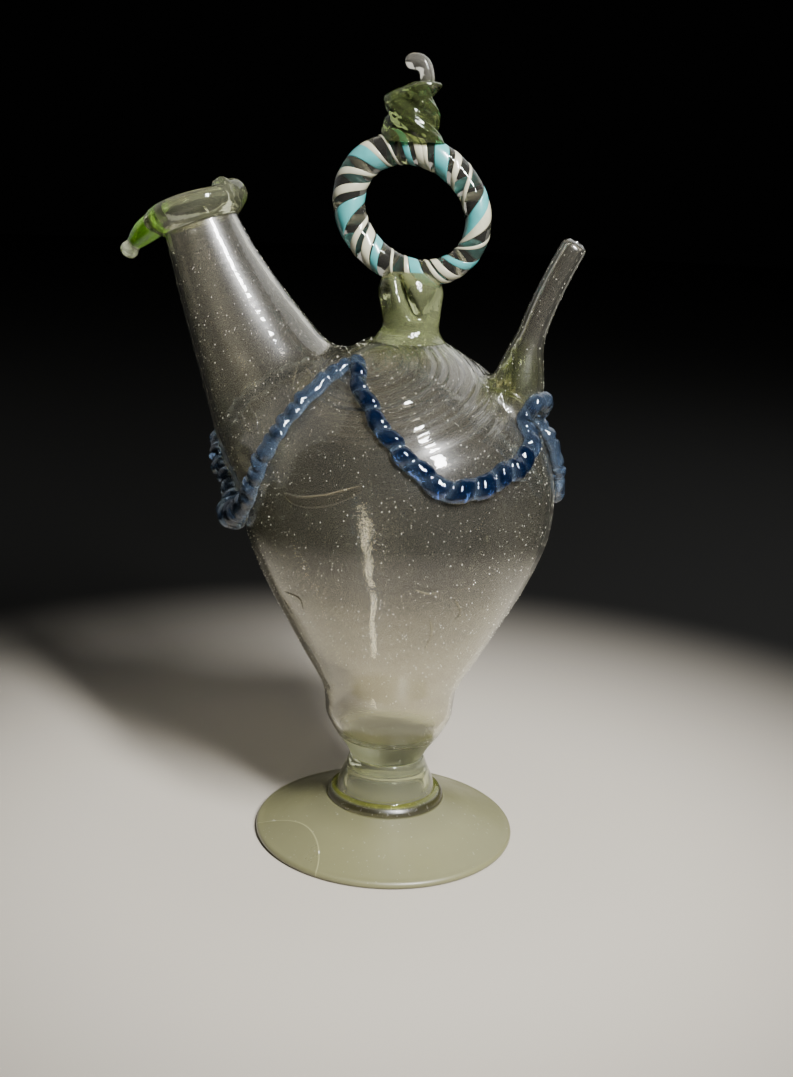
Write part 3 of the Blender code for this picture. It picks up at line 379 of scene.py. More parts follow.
# The kinds of node that the materials use: Blender's type, the output that is read, the inputs in the order
# that add() takes them, and the settings.
NODES = {
    "coordinates": ("TexCoord", "Object", (), {}),
    "moved": ("Mapping", "Vector", ("Vector", "Location"), {}),
    "stretched": ("Mapping", "Vector", ("Vector", "Scale"), {}),
    "side": ("SeparateXYZ", "X", ("Vector",), {}),
    "height": ("SeparateXYZ", "Z", ("Vector",), {}),
    "distance": ("VectorMath", "Value", (0, 1), {"operation": "DISTANCE"}),
    "flattened": ("VectorMath", "Vector", (0, 1), {"operation": "MULTIPLY"}),
    "noise": ("TexNoise", "Fac", ("Vector", "Scale", "Detail"), {}),
    "line noise": ("TexNoise", "Fac", ("W", "Scale", "Detail"), {"noise_dimensions": "1D"}),
    "step": (
        "MapRange", "Result", ("Value", "From Min", "From Max", "To Min", "To Max"),
        {"interpolation_type": "SMOOTHSTEP"},
    ),
    "times": ("Math", 0, (0, 1), {"operation": "MULTIPLY"}),
    "power": ("Math", 0, (0, 1), {"operation": "POWER"}),
    "most": ("Math", 0, (0, 1), {"operation": "MAXIMUM"}),
    "plus": ("Math", 0, (0, 1), {"operation": "ADD"}),
    "plus, held": ("Math", 0, (0, 1), {"operation": "ADD", "use_clamp": True}),
    "minus": ("Math", 0, (0, 1), {"operation": "SUBTRACT"}),
    "rim": ("LayerWeight", "Facing", ("Blend",), {}),
    "attribute": ("Attribute", "Fac", (), {}),
    "mix": ("Mix", "Result", ("Factor", "A", "B"), {"data_type": "RGBA"}),
    "bump": ("Bump", "Normal", ("Height", "Strength", "Distance", "Normal"), {}),
}


def feed(tree, node, inputs):
    """Sets each input of a node to its value, or links it where the value is another node's output."""
    for name, value in inputs.items():
        if isinstance(value, bpy.types.NodeSocket):
            tree.links.new(value, node.inputs[name])
        else:
            node.inputs[name].default_value = value


def add(tree, kind, *values, **settings):
    """Adds a node of one of the kinds in NODES with these inputs and settings, and returns its output."""
    node_type, output, inputs, own_settings = NODES[kind]
    made = tree.nodes.new("ShaderNode" + node_type)
    for name, value in {**own_settings, **settings}.items():
        setattr(made, name, value)
    feed(tree, made, dict(zip(inputs, values)))
    return made.outputs[output]


def new_material(name):
    """A material, its node tree, its shader, and Object coordinates centred on the jug's axis."""
    material = bpy.data.materials.new(name)
    material.use_nodes = True
    tree = material.node_tree
    centred = add(tree, "moved", add(tree, "coordinates"), (-AXIS_X, 0, 0))
    return material, tree, tree.nodes["Principled BSDF"], centred


def lumps(size):
    """The noise scale whose lumps are about size millimetres across."""
    return 1 / (size * MM)


def shade(colour, share=1.0):
    """The colour times a share, with the alpha that a colour socket takes."""
    return (*(share * c for c in colour), 1)


def bumps(tree, *layers):
    """Bumps laid over each other, each given as (height, strength, distance)."""
    normal = None
    for layer in layers:
        normal = add(tree, "bump", *layer, *([normal] if normal else []))
    return normal


def blown_clear_glass(colours):
    """Soda glass, blown and tooled by hand: nearly colourless where thin, yellow-green where it is thick at
    the knop's base, under the post and at the thin spout's root. Its surface has wide waves, swirl marks on
    the shoulder where the crown was twisted, and level tool streaks below it. A dusty film lies on the swirl
    marks and on both spouts, and handling has dulled patches."""
    material, tree, shader, where = new_material("blown_clear_glass")
    height, side = add(tree, "height", where), add(tree, "side", where)
    base = add(tree, "step", height, WAIST_Z + 17 * MM, WAIST_Z + 5 * MM, 0, 0.8)
    crown = add(tree, "step", add(tree, "distance", where, (0, 0, CROWN_Z)), 30 * MM, 13 * MM, 0, 0.85)
    thin_root = add(tree, "distance", where, (42 * MM, -5 * MM, CROWN_Z - 8 * MM))
    root = add(tree, "step", thin_root, 17 * MM, 6 * MM, 0, 0.9)
    rim = add(tree, "times", add(tree, "power", add(tree, "rim", 0.25), 2), 0.8)
    thick = add(tree, "most", add(tree, "most", base, crown), add(tree, "most", root, rim))
    # Swirl marks about 4 mm apart: rings that wander a little, round a point of the shoulder before the post.
    middle = add(tree, "distance", where, (-4 * MM, -24 * MM, CROWN_Z - 5 * MM))
    strayed = add(tree, "times", add(tree, "noise", where, lumps(45.5), 1), 10 * MM)
    swirl = add(tree, "line noise", add(tree, "plus", middle, strayed), lumps(3.7), 1)
    from_shoulder = add(tree, "distance", where, (16 * MM, -22 * MM, CROWN_Z - 14 * MM))
    shoulder = add(
        tree, "times", add(tree, "step", height, CROWN_Z - 50 * MM, CROWN_Z - 14 * MM),
        add(tree, "step", from_shoulder, 48 * MM, 26 * MM),
    )
    shoulder = add(tree, "times", shoulder, add(tree, "step", middle, 5 * MM, 11 * MM))
    filling, pouring = add(tree, "step", side, -38 * MM, -60 * MM), add(tree, "step", side, 42 * MM, 52 * MM)
    spout_dust = add(tree, "times", add(tree, "most", filling, pouring), 0.9)
    swirl_dust = add(tree, "times", add(tree, "step", swirl, 0.4, 0.62), shoulder)
    dusty = add(tree, "most", swirl_dust, spout_dust)
    waves = add(tree, "noise", where, lumps(23.8), 2)
    levelled = add(tree, "stretched", where, (lumps(71.4), lumps(71.4), lumps(3.846)))
    streaks = add(tree, "noise", levelled, 1, 3)
    dull = add(tree, "step", add(tree, "noise", where, lumps(26.3), 5), 0.4, 0.75, 0.008, 0.08)
    feed(tree, shader, {
        "Transmission Weight": 0.985, "IOR": 1.5, "Specular IOR Level": 0.7, "Coat Roughness": 0.3,
        "Base Color": add(tree, "mix", thick, shade(colours.clear), shade(colours.tinted)),
        "Coat Weight": add(tree, "step", dusty, 0, 1, 0.25, 1),
        "Roughness": add(tree, "most", dull, add(tree, "times", base, 0.5)),
        "Normal": bumps(
            tree, (waves, 0.35, 1.4 * MM), (add(tree, "times", swirl, shoulder), 1, 1.3 * MM),
            (streaks, 0.35, 0.4 * MM),
        ),
    })
    return material


def tinted_glass(name, colour, transmission, wave, wave_depth, end=None):
    """Thicker glass, worked hot: the metal's own colour, with drawn-out waves, given by their size and depth
    in millimetres, and a fire-polished gloss. With end = (height, colour) it turns to that colour within 5 mm
    above the height."""
    material, tree, shader, where = new_material(name)
    base = shade(colour)
    if end:
        share = add(tree, "step", add(tree, "height", where), end[0], end[0] + 5 * MM)
        base = add(tree, "mix", share, base, shade(end[1]))
    wide = add(tree, "noise", where, lumps(wave), 3)
    small = add(tree, "noise", where, 3.2 * lumps(wave), 3)
    cloud = add(tree, "noise", where, lumps(11.1), 4)
    feed(tree, shader, {
        "Transmission Weight": transmission, "IOR": 1.5, "Base Color": base,
        "Roughness": add(tree, "step", cloud, 0.35, 0.75, 0.018, 0.054),
        "Normal": bumps(tree, (wide, 0.4, wave_depth * MM), (small, 0.3, 0.3 * wave_depth * MM)),
    })
    return material


def hazy_foot_glass(colours):
    """The broad cone's glass, milky grey-green from wear and dust, with painted shade darkening it near the
    bell's ring. One curved crack runs in from the rim; the flake inside it is a little darker and glossier.
    The crack's edge is a lighter line, partly the crack itself and partly a painted highlight, with a few
    painted white glints along it."""
    material, tree, shader, where = new_material("hazy_foot_glass")
    cloud = add(tree, "noise", where, lumps(16.67), 5)
    flat = add(tree, "flattened", where, (1, 1, 0))
    away = add(tree, "distance", flat, (*CRACK_CENTRE, 0))
    inside = add(tree, "step", away, CRACK_RADIUS, CRACK_RADIUS - 0.6 * MM)
    # The crack's line: partly the crack itself, partly a painted highlight; painted white glints lie along
    # it.
    edge = add(
        tree, "times", add(tree, "step", away, CRACK_RADIUS - 0.4 * MM, CRACK_RADIUS - 0.1 * MM),
        add(tree, "step", away, CRACK_RADIUS + 0.25 * MM, CRACK_RADIUS),
    )
    painted_glints = add(tree, "step", add(tree, "noise", where, lumps(3.846), 1), 0.6, 0.66)
    specks = add(tree, "step", add(tree, "noise", where, lumps(1.333), 1), 0.72, 0.76, 0, 0.5)
    from_axis = add(tree, "distance", flat, (0, 0, 0))
    # Laid over the worn glass in this order: painted shade by the ring, specks of dust, flake, crack line
    # with a painted highlight, painted glints.
    layers = (
        (add(tree, "step", from_axis, STEP_RADIUS + 12 * MM, STEP_RADIUS, 0, 0.5), shade(colours.hazy, 0.5)),
        (specks, shade(colours.white)),
        (add(tree, "times", inside, 0.14), shade(colours.hazy, 0.45)),
        (edge, shade(colours.hazy, 1.5)),
        (add(tree, "times", edge, painted_glints), shade((1, 1, 0.9))),
    )
    base = add(tree, "mix", cloud, shade(colours.hazy), shade(colours.hazy, 0.8))
    for share, colour in layers:
        base = add(tree, "mix", share, base, colour)
    dull = add(tree, "step", cloud, 0.3, 0.7, 0.34, 0.5)
    feed(tree, shader, {
        "Transmission Weight": 0.45, "IOR": 1.5, "Coat Weight": 0.2, "Coat Roughness": 0.25,
        "Base Color": base,
        "Roughness": add(tree, "minus", dull, add(tree, "times", inside, 0.08)),
        "Normal": bumps(tree, (cloud, 0.2, 0.4 * MM), (inside, 0.35, 0.3 * MM)),
    })
    return material


def clear_bell_glass(colours):
    """The foot's bell: clear thick glass with a green cast. The thick ring at its base is dark olive with
    pale specks, partly the thick glass's own colour and partly painted shade, under a thin yellow-green line
    along its top edge that is a painted highlight."""
    material, tree, shader, where = new_material("clear_bell_glass")
    top = CONE_HEIGHT + STEP_HEIGHT
    height = add(tree, "height", where)
    # The thick ring at the bell's base, darkened partly as painted shade, and a thin band at its top edge for
    # a painted yellow-green highlight.
    ring = add(tree, "step", height, top - 0.2 * MM, top - 1.0 * MM)
    edge = add(
        tree, "times", add(tree, "step", height, top - 0.6 * MM, top - 0.3 * MM),
        add(tree, "step", height, top + 0.4 * MM, top + 0.1 * MM),
    )
    specks = add(tree, "step", add(tree, "noise", where, lumps(1.25), 1), 0.64, 0.7, 0, 0.7)
    base = shade(halfway(colours.clear, colours.tinted))
    specks = add(tree, "times", ring, specks)
    # Laid over in this order: the ring's dark colour, partly painted shade; its pale specks; the painted
    # highlight along its edge.
    for share, colour in ((ring, linear("#6C6743")), (specks, colours.clear), (edge, linear("#D2DB62"))):
        base = add(tree, "mix", share, base, shade(colour))
    dull = add(tree, "step", add(tree, "noise", where, lumps(14.3), 4), 0.4, 0.75, 0.02, 0.1)
    feed(tree, shader, {
        "Transmission Weight": 0.94, "IOR": 1.5, "Coat Weight": 0.1, "Coat Roughness": 0.3,
        "Base Color": base,
        "Roughness": add(tree, "plus", dull, add(tree, "times", ring, 0.28)),
        "Normal": bumps(tree, (add(tree, "noise", where, lumps(12.5), 2), 0.3, 0.8 * MM)),
    })
    return material


def green_drop_glass(colours):
    """Strong green glass, thick enough to glow in the light, paling to almost clear in the end bead."""
    material, tree, shader, where = new_material("green_drop_glass")
    bead = add(tree, "attribute", attribute_name="bead")
    wide, small = add(tree, "noise", where, lumps(5.88), 3), add(tree, "noise", where, lumps(1.613), 3)
    feed(tree, shader, {
        "Transmission Weight": 0.7, "IOR": 1.5, "Coat Weight": 0.5, "Coat Roughness": 0.03,
        "Base Color": add(tree, "mix", bead, shade(colours.green), shade(linear("#E0E5C4"))),
        "Roughness": add(tree, "step", add(tree, "noise", where, lumps(8.33), 3), 0.35, 0.75, 0.06, 0.16),
        "Normal": bumps(tree, (wide, 0.4, 0.8 * MM), (small, 0.5, 0.3 * MM)),
    })
    return material


def cobalt_glass(colours):
    """Cobalt glass, laid on hot and pinched: almost black-blue where thick, paler at its thin edges."""
    material, tree, shader, where = new_material("cobalt_glass")
    cloud, small = add(tree, "noise", where, lumps(6.25), 3), add(tree, "noise", where, lumps(1.923), 3)
    thin = add(tree, "attribute", attribute_name="thin")
    share = add(tree, "plus, held", thin, add(tree, "minus", cloud, 0.5))
    feed(tree, shader, {
        "Transmission Weight": 0.92, "IOR": 1.5, "Roughness": 0.03,
        "Base Color": add(tree, "mix", share, shade(colours.cobalt), shade(colours.cobalt_thin)),
        "Normal": bumps(tree, (cloud, 0.4, 0.9 * MM), (small, 0.4, 0.3 * MM)),
    })
    return material


def burst_bubbles(colours):
    """Seeds that have opened at the surface: bright specks, half filled with pale dust."""
    material, tree, shader, where = new_material("burst_bubbles")
    dust = add(tree, "noise", where, lumps(3.33), 2)
    feed(tree, shader, {
        "IOR": 1.5, "Roughness": 0.3, "Coat Weight": 0.6, "Coat Roughness": 0.05,
        "Base Color": add(tree, "mix", dust, shade(linear("#FFFBEE")), shade(colours.white)),
    })
    return material


def enamel_thread(name, colour):
    """Opaque glass rod, drawn thin and melted into the cane: even colour under a fire-polished gloss."""
    material, tree, shader, where = new_material(name)
    cloud = add(tree, "noise", where, lumps(4.55), 4)
    feed(tree, shader, {
        "Roughness": 0.3, "IOR": 1.5, "Coat Weight": 0.8, "Coat Roughness": 0.06,
        "Base Color": add(tree, "mix", cloud, shade(colour), shade(colour, 0.55)),
        "Normal": bumps(tree, (cloud, 0.25, 0.3 * MM)),
    })
    return material


# The blown bubble


def body_outline(steps):
    """(radius, height) down the outside of the body, from the crown's edge to the waist."""
    knop = WAIST_Z + KNOP_HEIGHT
    rise, grow, shoulder = CROWN_Z - knop, BODY_RADIUS - KNOP_RADIUS, BODY_RADIUS - CROWN_RADIUS
    flare = KNOP_RADIUS - WAIST_RADIUS
    upper = [(0, 1), (0.42, 0.913), (0.81, 0.792), (0.96, 0.681), (1, 0.57)]
    lower = [(0.95, 0.459), (0.745, 0.328), (0.5, 0.213), (0.295, 0.118), (0.05, 0.008)]
    base = [(1, 0.79), (0.93, 0.58), (0.6, 0.35), (0.19, 0.14), (0, 0)]
    knots = [(CROWN_RADIUS + a * shoulder, knop + b * rise) for a, b in upper]
    knots += [(KNOP_RADIUS + a * grow, knop + b * rise) for a, b in lower]
    knots += [(WAIST_RADIUS + a * flare, WAIST_Z + b * KNOP_HEIGHT) for a, b in base]
    return smooth_curve(knots, steps)


def leaned(point, degrees, away):
    """A point moved by a length along a direction that leans by degrees from upright, towards -X."""
    lean = math.radians(degrees)
    return point + away * np.array([-math.sin(lean), 0, math.cos(lean)])


def fill_spout(t):
    """Filling spout at shares t of its path: a cubic Bezier curve of centres, and the radius
    mouth + (root - mouth)(1 - t)^1.25."""
    root = np.array([-FILL_FROM[0], 0, CROWN_Z + FILL_FROM[1]])
    mouth = np.array([-FILL_TO[0], 0, CROWN_Z + FILL_TO[1]])
    reach = 0.33 * np.linalg.norm(mouth - root)
    second, third = leaned(root, 30, reach), leaned(mouth, 21, -reach)
    s = t[:, None]
    centres = (1 - s) ** 3 * root + 3 * (1 - s) ** 2 * s * second + 3 * (1 - s) * s**2 * third + s**3 * mouth
    return centres, FILL_MOUTH + (FILL_ROOT - FILL_MOUTH) * (1 - t) ** 1.25


def pour_spout(t):
    """Pouring spout at shares t of its path: a quadratic Bezier curve of centres; the radius falls
    with a smooth step from the root's to the tip's in the first half."""
    root = np.array([POUR_FROM[0], 0, CROWN_Z + POUR_FROM[1]])
    tip = np.array([POUR_TO[0], 0, CROWN_Z + POUR_TO[1]])
    bend = root + [0.10, 0, 0.45] * (tip - root)
    s = t[:, None]
    centres = (1 - s) ** 2 * root + 2 * (1 - s) * s * bend + s**2 * tip
    return centres, POUR_TIP * (1.12 - 0.12 * t) + (POUR_ROOT - POUR_TIP) * (1 - ease(2 * t))


def smooth_min(a, b, width):
    """min(a, b) - (max(width - |a - b|, 0) / width)^2 width / 4."""
    overlap = np.maximum(width - np.abs(a - b), 0) / width
    return np.minimum(a, b) - overlap * overlap * width / 4


class GlassField:
    """Distance to body and spouts, rounded together; its levels 0 and -wall are the glass's two faces."""

    def __init__(self):
        side = body_outline(8)
        self.outline = np.vstack([(0, CROWN_Z), side, (0, WAIST_Z)])
        self.side = side[::-1]
        t = np.linspace(0, 1, 25)
        self.tubes = []
        for spout, blend in ((fill_spout, FILL_BLEND), (pour_spout, POUR_BLEND)):
            centres, radii = spout(t)
            beyond = centres[-1] + 30 * MM * unit(centres[-1] - centres[-2])
            self.tubes.append((np.vstack([centres, beyond]), np.append(radii, radii[-1]), blend))

    def body(self, points):
        """Distance to the turned outline: to the nearest of its straight steps in (radius, height)."""
        flat = np.stack([np.hypot(points[:, 0], points[:, 1]), points[:, 2]], axis=1)
        away = to_steps(flat, self.outline)[0].min(axis=1)
        wall = np.interp(flat[:, 1], self.side[:, 1], self.side[:, 0], left=-1, right=-1)
        return np.where(flat[:, 0] < wall, -away, away)

    def tube(self, points, centres, radii):
        """Distance to a round tube: to its centre line, less the radius there."""
        away, along = to_steps(points, centres)
        return (away - radii[:-1] - along * np.diff(radii)).min(axis=1)

    def __call__(self, points):
        value = self.body(points)
        for centres, radii, blend in self.tubes:
            value = smooth_min(value, self.tube(points, centres, radii), blend)
        return value

    def slope(self, points):
        """Gradient by central differences over 0.02 mm to each side."""
        side = 0.02 * MM
        rises = [self(points + step) - self(points - step) for step in side * np.eye(3)]
        return np.stack(rises, axis=1) / (2 * side)

    def settled(self, points, level, rounds=6):
        """Newton steps p - (f - level) grad f / |grad f|^2, each at most 4 mm."""
        flat = points.reshape(-1, 3)
        for _ in range(rounds):
            slope = self.slope(flat)
            steep = np.maximum((slope**2).sum(axis=1), 0.05)
            move = np.clip((self(flat) - level) / steep, -4 * MM, 4 * MM)
            flat = flat - move[:, None] * slope
        return flat.reshape(points.shape)


FIELD = GlassField()
AROUND = 144


def block_loop(columns, rows):
    """(row, column) numbers round a block of the body's grid, each corner once."""
    top = [(rows[0], c) for c in columns[:-1]]
    right = [(r, columns[-1]) for r in rows[:-1]]
    bottom = [(rows[-1], c) for c in columns[:0:-1]]
    left = [(r, columns[0]) for r in rows[:0:-1]]
    return np.array(top + right + bottom + left)


def glass_face(skin, level):
    """One face of the blown wall. The body's grid is the outline moved by level along its normal and
    turned about Z. A block of it gives way to each spout's rows: from the block's edge they spread to a
    ring, and on up the spout, all settled on the field's level. Returns the rings at the spouts' ends."""
    outer, _ = evenly(body_outline(24), 138)
    run = unit(np.gradient(outer, axis=0))
    rows = outer + level * np.stack([-run[:, 1], run[:, 0]], axis=1)
    if level < 0:
        rows = rows[rows[:, 1] > WAIST_Z + BODY_FLOOR + 3 * MM]
    grid = turned(rows, AROUND)
    flat = grid.reshape(-1, 3)
    near = np.zeros(len(flat), bool)
    for centres, radii, blend in FIELD.tubes:
        near |= FIELD.tube(flat, centres, radii) < blend + 3 * MM
    flat[near] = FIELD.settled(flat[near], level)
    numbers = skin.grid(grid)
    stays = np.ones((len(rows) - 1, AROUND), bool)
    # For each spout: the angle where its block lies, the sine of the block's half width, its depths below and
    # above, the share of the spout's path where its own rows begin, and their number.
    spouts = (
        (fill_spout, math.pi, FILL_ROOT / BODY_RADIUS, FILL_FROM[1] - FILL_ROOT, 0.15 * FILL_FROM[1],
         0.375, 46),
        (pour_spout, 0.0, 1.5 * POUR_ROOT / POUR_FROM[0], POUR_FROM[1] - 1.7 * POUR_ROOT,
         POUR_FROM[1] + POUR_ROOT, 0.208, 44),
    )
    ends = []
    for spout, middle, reach, low, high, first, count in spouts:
        half = max(2, round(math.asin(min(0.95, reach)) / TAU * AROUND))
        columns = (round(middle / TAU * AROUND) + np.arange(-half, half + 1)) % AROUND
        heights = outer[: len(rows), 1] - CROWN_Z
        taken = np.flatnonzero((heights >= low) & (heights <= high))
        stays[np.ix_(taken[:-1], columns[:-1])] = False
        loop = block_loop(list(columns), list(taken))
        edge = grid[loop[:, 0], loop[:, 1]]
        t = np.linspace(first, 1, count)
        centres, radii = spout(t)
        across = np.cross(Y, unit(np.gradient(centres, axis=0)))
        offset = edge - centres[0]
        turn = np.unwrap(np.arctan2(offset[:, 1], offset @ across[0]))
        even = np.sign(turn[-1] - turn[0]) * round_turn(len(loop))
        even += (turn - even).mean()
        share = (0.5 + 0.5 * ease((t - first) / (0.5 * (1 - first))))[:, None]
        about = (1 - share) * turn + share * even
        tube = centres[:, None] + (radii + level)[:, None, None] * (
            np.cos(about)[:, :, None] * across[:, None] + np.sin(about)[:, :, None] * Y
        )
        spread = ease(np.linspace(0, 1, 16)[1:-1])[:, None, None]
        fresh = FIELD.settled(np.concatenate([edge + spread * (tube[0] - edge), tube[:-1]]), level)
        made = skin.grid(np.concatenate([fresh, tube[-1:]]))
        skin.weave(numbers[loop[:, 0], loop[:, 1]], made)
        ends.append((made[-1], tube[-1]))
    skin.weave(numbers, keep=stays)
    dome, dome_high = np.array([0.8, 0.55, 0.28])[:, None, None], 0.9 * MM
    cap = skin.grid(dome * grid[0] * [1, 1, 0] + (rows[0, 1] + (1 - dome**2) * dome_high) * Z)
    skin.weave(numbers[:1], cap)
    skin.close(cap[-1], (0, 0, rows[0, 1] + dome_high))
    if level < 0:
        bowl = np.array([(0.92, 0.55), (0.78, 0.26), (0.58, 0.09), (0.3, 0.02)])[:, :, None, None]
        floor = WAIST_Z + BODY_FLOOR
        drop = rows[-1, 1] - floor
        low = skin.grid(bowl[:, 0] * grid[-1] * [1, 1, 0] + (floor + bowl[:, 1] * drop) * Z)
        skin.weave(numbers[-1:], low)
        skin.close(low[-1], (0, 0, floor))
    else:
        skin.close(numbers[-1], (0, 0, WAIST_Z))
    return ends


def uneven(points):
    """Slow waves of the hand-blown wall: sines of angle and height, faded out at mouth, tip and waist."""
    angle, height = np.arctan2(points[:, 1], points[:, 0]), points[:, 2]
    slow = np.sin(2 * angle + 34 * height + 0.7) + 0.6 * np.sin(3 * angle - 61 * height + 2.1)
    slow += 0.5 * np.sin(5 * angle + 95 * height)
    fade = ease((height - WAIST_Z - 4 * MM) / (12 * MM)) * ease((CROWN_Z + 20 * MM - height) / (16 * MM))
    return slow * fade


def build_vessel(sizes, material):
    """Outer and inner face, joined by the mouth's edge and by a rounded rim round the pouring hole."""
    skin = Skin()
    (mouth_out, _), (tip_out, tip) = glass_face(skin, 0.0)
    (mouth_in, _), (tip_in, _) = glass_face(skin, -sizes.wall)
    skin.weave(mouth_out, mouth_in)
    centres, _ = pour_spout(np.array([0.98, 1.0]))
    along, spokes = unit(centres[1] - centres[0]), unit(tip - centres[1])
    turn = np.radians([20, 45, 70, 90])[:, None, None]
    rim = POUR_TIP - POUR_HOLE
    rings = centres[1] + (POUR_TIP - rim * (1 - np.cos(turn))) * spokes + 0.85 * rim * np.sin(turn) * along
    skin.weave(tip_out, skin.grid(rings), tip_in)
    mesh = skin.mesh("vessel_glass")
    ruffle(mesh, lambda points: sizes.unevenness * 0.5 * uneven(points))
    return place("vessel_glass", mesh, material, "clear_glass", "vessel", "filling_spout", "pouring_spout")


def build_seeds(sizes, glass, material):
    """Octahedra p + r s v, v the six unit points, at random places p on the outer face's quads: the quad's
    middle and up to half its sides along two of its edges. r runs from 0.06 to 0.2 mm, most of them small;
    s draws the seed out upwards by up to 2.4."""
    mesh = glass.data
    four = read(mesh.polygons, "loop_total", kind=int) == 4
    start, loops = read(mesh.polygons, "loop_start", kind=int), read(mesh.loops, "vertex_index", kind=int)
    points = read(mesh.vertices, "co", 3) - [AXIS_X, 0, 0]
    quad = points[loops[start[four, None] + np.arange(4)]]
    area = read(mesh.polygons, "area")[four] * (np.abs(FIELD(quad.mean(axis=1))) < 0.4 * sizes.wall)
    chance = np.random.default_rng(11)
    picked = quad[chance.choice(len(area), sizes.seeds, p=area / area.sum())]
    aside, upward = chance.uniform(-0.5, 0.5, (2, sizes.seeds, 1))
    one, two = picked[:, 1] - picked[:, 0], picked[:, 3] - picked[:, 0]
    middle = picked.mean(axis=1) + aside * one + upward * two
    radius = (0.06 + 0.14 * chance.uniform(0, 1, (sizes.seeds, 1)) ** 3) * MM
    drawn = chance.uniform(1, 2.4, (sizes.seeds, 1))
    belt_points = np.array([(1, 0, 0), (0, 1, 0), (-1, 0, 0), (0, -1, 0)])
    skin = Skin()
    belt = skin.grid(middle[:, None] + radius[:, None] * belt_points)
    top = skin.grid(middle[:, None] + (radius * drawn)[:, None] * Z)
    low = skin.grid(middle[:, None] - (radius * drawn)[:, None] * Z)
    following = np.roll(belt, -1, axis=1)
    for first, second, tip in ((belt, following, top), (following, belt, low)):
        skin.fans.append(np.stack([first, second, np.broadcast_to(tip, belt.shape)], axis=2).reshape(-1, 3))
    return place("seeds", skin.mesh("seeds"), material, "clear_glass")


def build_marks(material):
    """Each mark: a flat ellipse, half width w(s) and height h(s), carried along its route on the wall; both
    swell and fade as sqrt(1 - (2s - 1)^2) over the share s of its length."""
    skin = Skin()
    steps, angles, proud = 40, round_turn(14), 0.02 * MM
    share = np.linspace(0.004, 0.996, steps)
    swell = np.sqrt(1 - (2 * share - 1) ** 2)[:, None]
    for half, tall, *turns in WALL_MARKS:
        path, _ = evenly(on_wall(smooth_curve(turns, 12)), steps)
        path = FIELD.settled(path, 0.0, 3)
        normal = unit(FIELD.slope(path))
        across = unit(np.cross(np.gradient(path, axis=0), normal))
        feet = path[:, None] + (half * MM * swell * np.cos(angles))[:, :, None] * across[:, None]
        feet = FIELD.settled(feet, 0.0, 3)
        lift = tall * MM * swell * np.maximum(np.sin(angles), -0.3) + proud
        ends = [feet[end].mean(axis=0) + proud * normal[end] for end in (0, -1)]
        skin.capped(feet + lift[:, :, None] * normal[:, None], *ends)
    return place("wall_marks", skin.mesh("wall_marks"), material, "clear_glass")


# Foot


def arc(centre, radius, start, end, steps):
    """Points of an arc of an ellipse in (radius, height), from start to end in degrees."""
    turn = np.radians(np.linspace(start, end, steps))
    return np.stack([centre[0] + radius[0] * np.cos(turn), centre[1] + radius[1] * np.sin(turn)], axis=1)


def foot_outlines():
    """(radius, height) round the sections of the bell, with its thick ring, and of the broad cone. They meet
    in a joint at the ring's radius."""
    top = CONE_HEIGHT + STEP_HEIGHT
    flare, bell_high = COLLAR_RADIUS - WAIST_RADIUS, FOOT_HEIGHT - top
    spread, slope = FOOT_RADIUS - STEP_RADIUS, CONE_HEIGHT - FOOT_EDGE
    wall, ceiling = 3.0 * MM, FOOT_HEIGHT - FOOT_CEILING
    bell_side = smooth_curve(
        [(WAIST_RADIUS, FOOT_HEIGHT), (WAIST_RADIUS + 0.31 * flare, FOOT_HEIGHT - 0.32 * bell_high),
         (WAIST_RADIUS + 0.81 * flare, FOOT_HEIGHT - 0.77 * bell_high), (COLLAR_RADIUS - 0.2 * MM, top)], 6)
    step = smooth_curve(
        [(COLLAR_RADIUS + 0.5 * MM, top - 0.1 * MM), (STEP_RADIUS - 1.2 * MM, top - 0.7 * MM),
         (STEP_RADIUS - 0.15 * MM, top - 2.2 * MM), (STEP_RADIUS, CONE_HEIGHT + 0.1 * MM)], 5)
    under = smooth_curve(
        [(STEP_RADIUS, CONE_HEIGHT - 0.85 * wall), (COLLAR_RADIUS - 0.8 * wall, top - 1.1 * wall),
         (WAIST_RADIUS + 0.81 * flare - wall, FOOT_HEIGHT - 0.77 * bell_high),
         (WAIST_RADIUS - 0.35 * wall, ceiling - 0.15 * bell_high), (0.55 * WAIST_RADIUS, ceiling),
         (0.2 * WAIST_RADIUS, ceiling + 0.1 * MM)], 6)
    cone = smooth_curve(
        [(STEP_RADIUS + 0.05 * MM, CONE_HEIGHT), (STEP_RADIUS + 0.22 * spread, FOOT_EDGE + 0.72 * slope),
         (STEP_RADIUS + 0.6 * spread, FOOT_EDGE + 0.31 * slope),
         (FOOT_RADIUS - 2.2 * MM, FOOT_EDGE + 0.1 * MM)], 8)
    rim = arc((FOOT_RADIUS - 1.55 * MM, 0.5 * FOOT_EDGE), (1.5 * MM, 0.5 * FOOT_EDGE), 75, -90, 12)
    hollow = smooth_curve(
        [(FOOT_RADIUS - 1.5 * FOOT_EDGE, 0.1 * MM), (STEP_RADIUS + 0.55 * spread, 0.37 * slope),
         (STEP_RADIUS + 0.18 * spread, CONE_HEIGHT - wall - 0.22 * slope),
         (STEP_RADIUS + 0.05 * MM, CONE_HEIGHT - 0.85 * wall)], 6)
    middle = [(0.5 * WAIST_RADIUS, FOOT_HEIGHT)]
    return np.vstack([middle, bell_side, step, under]), np.vstack([cone, rim, hollow])


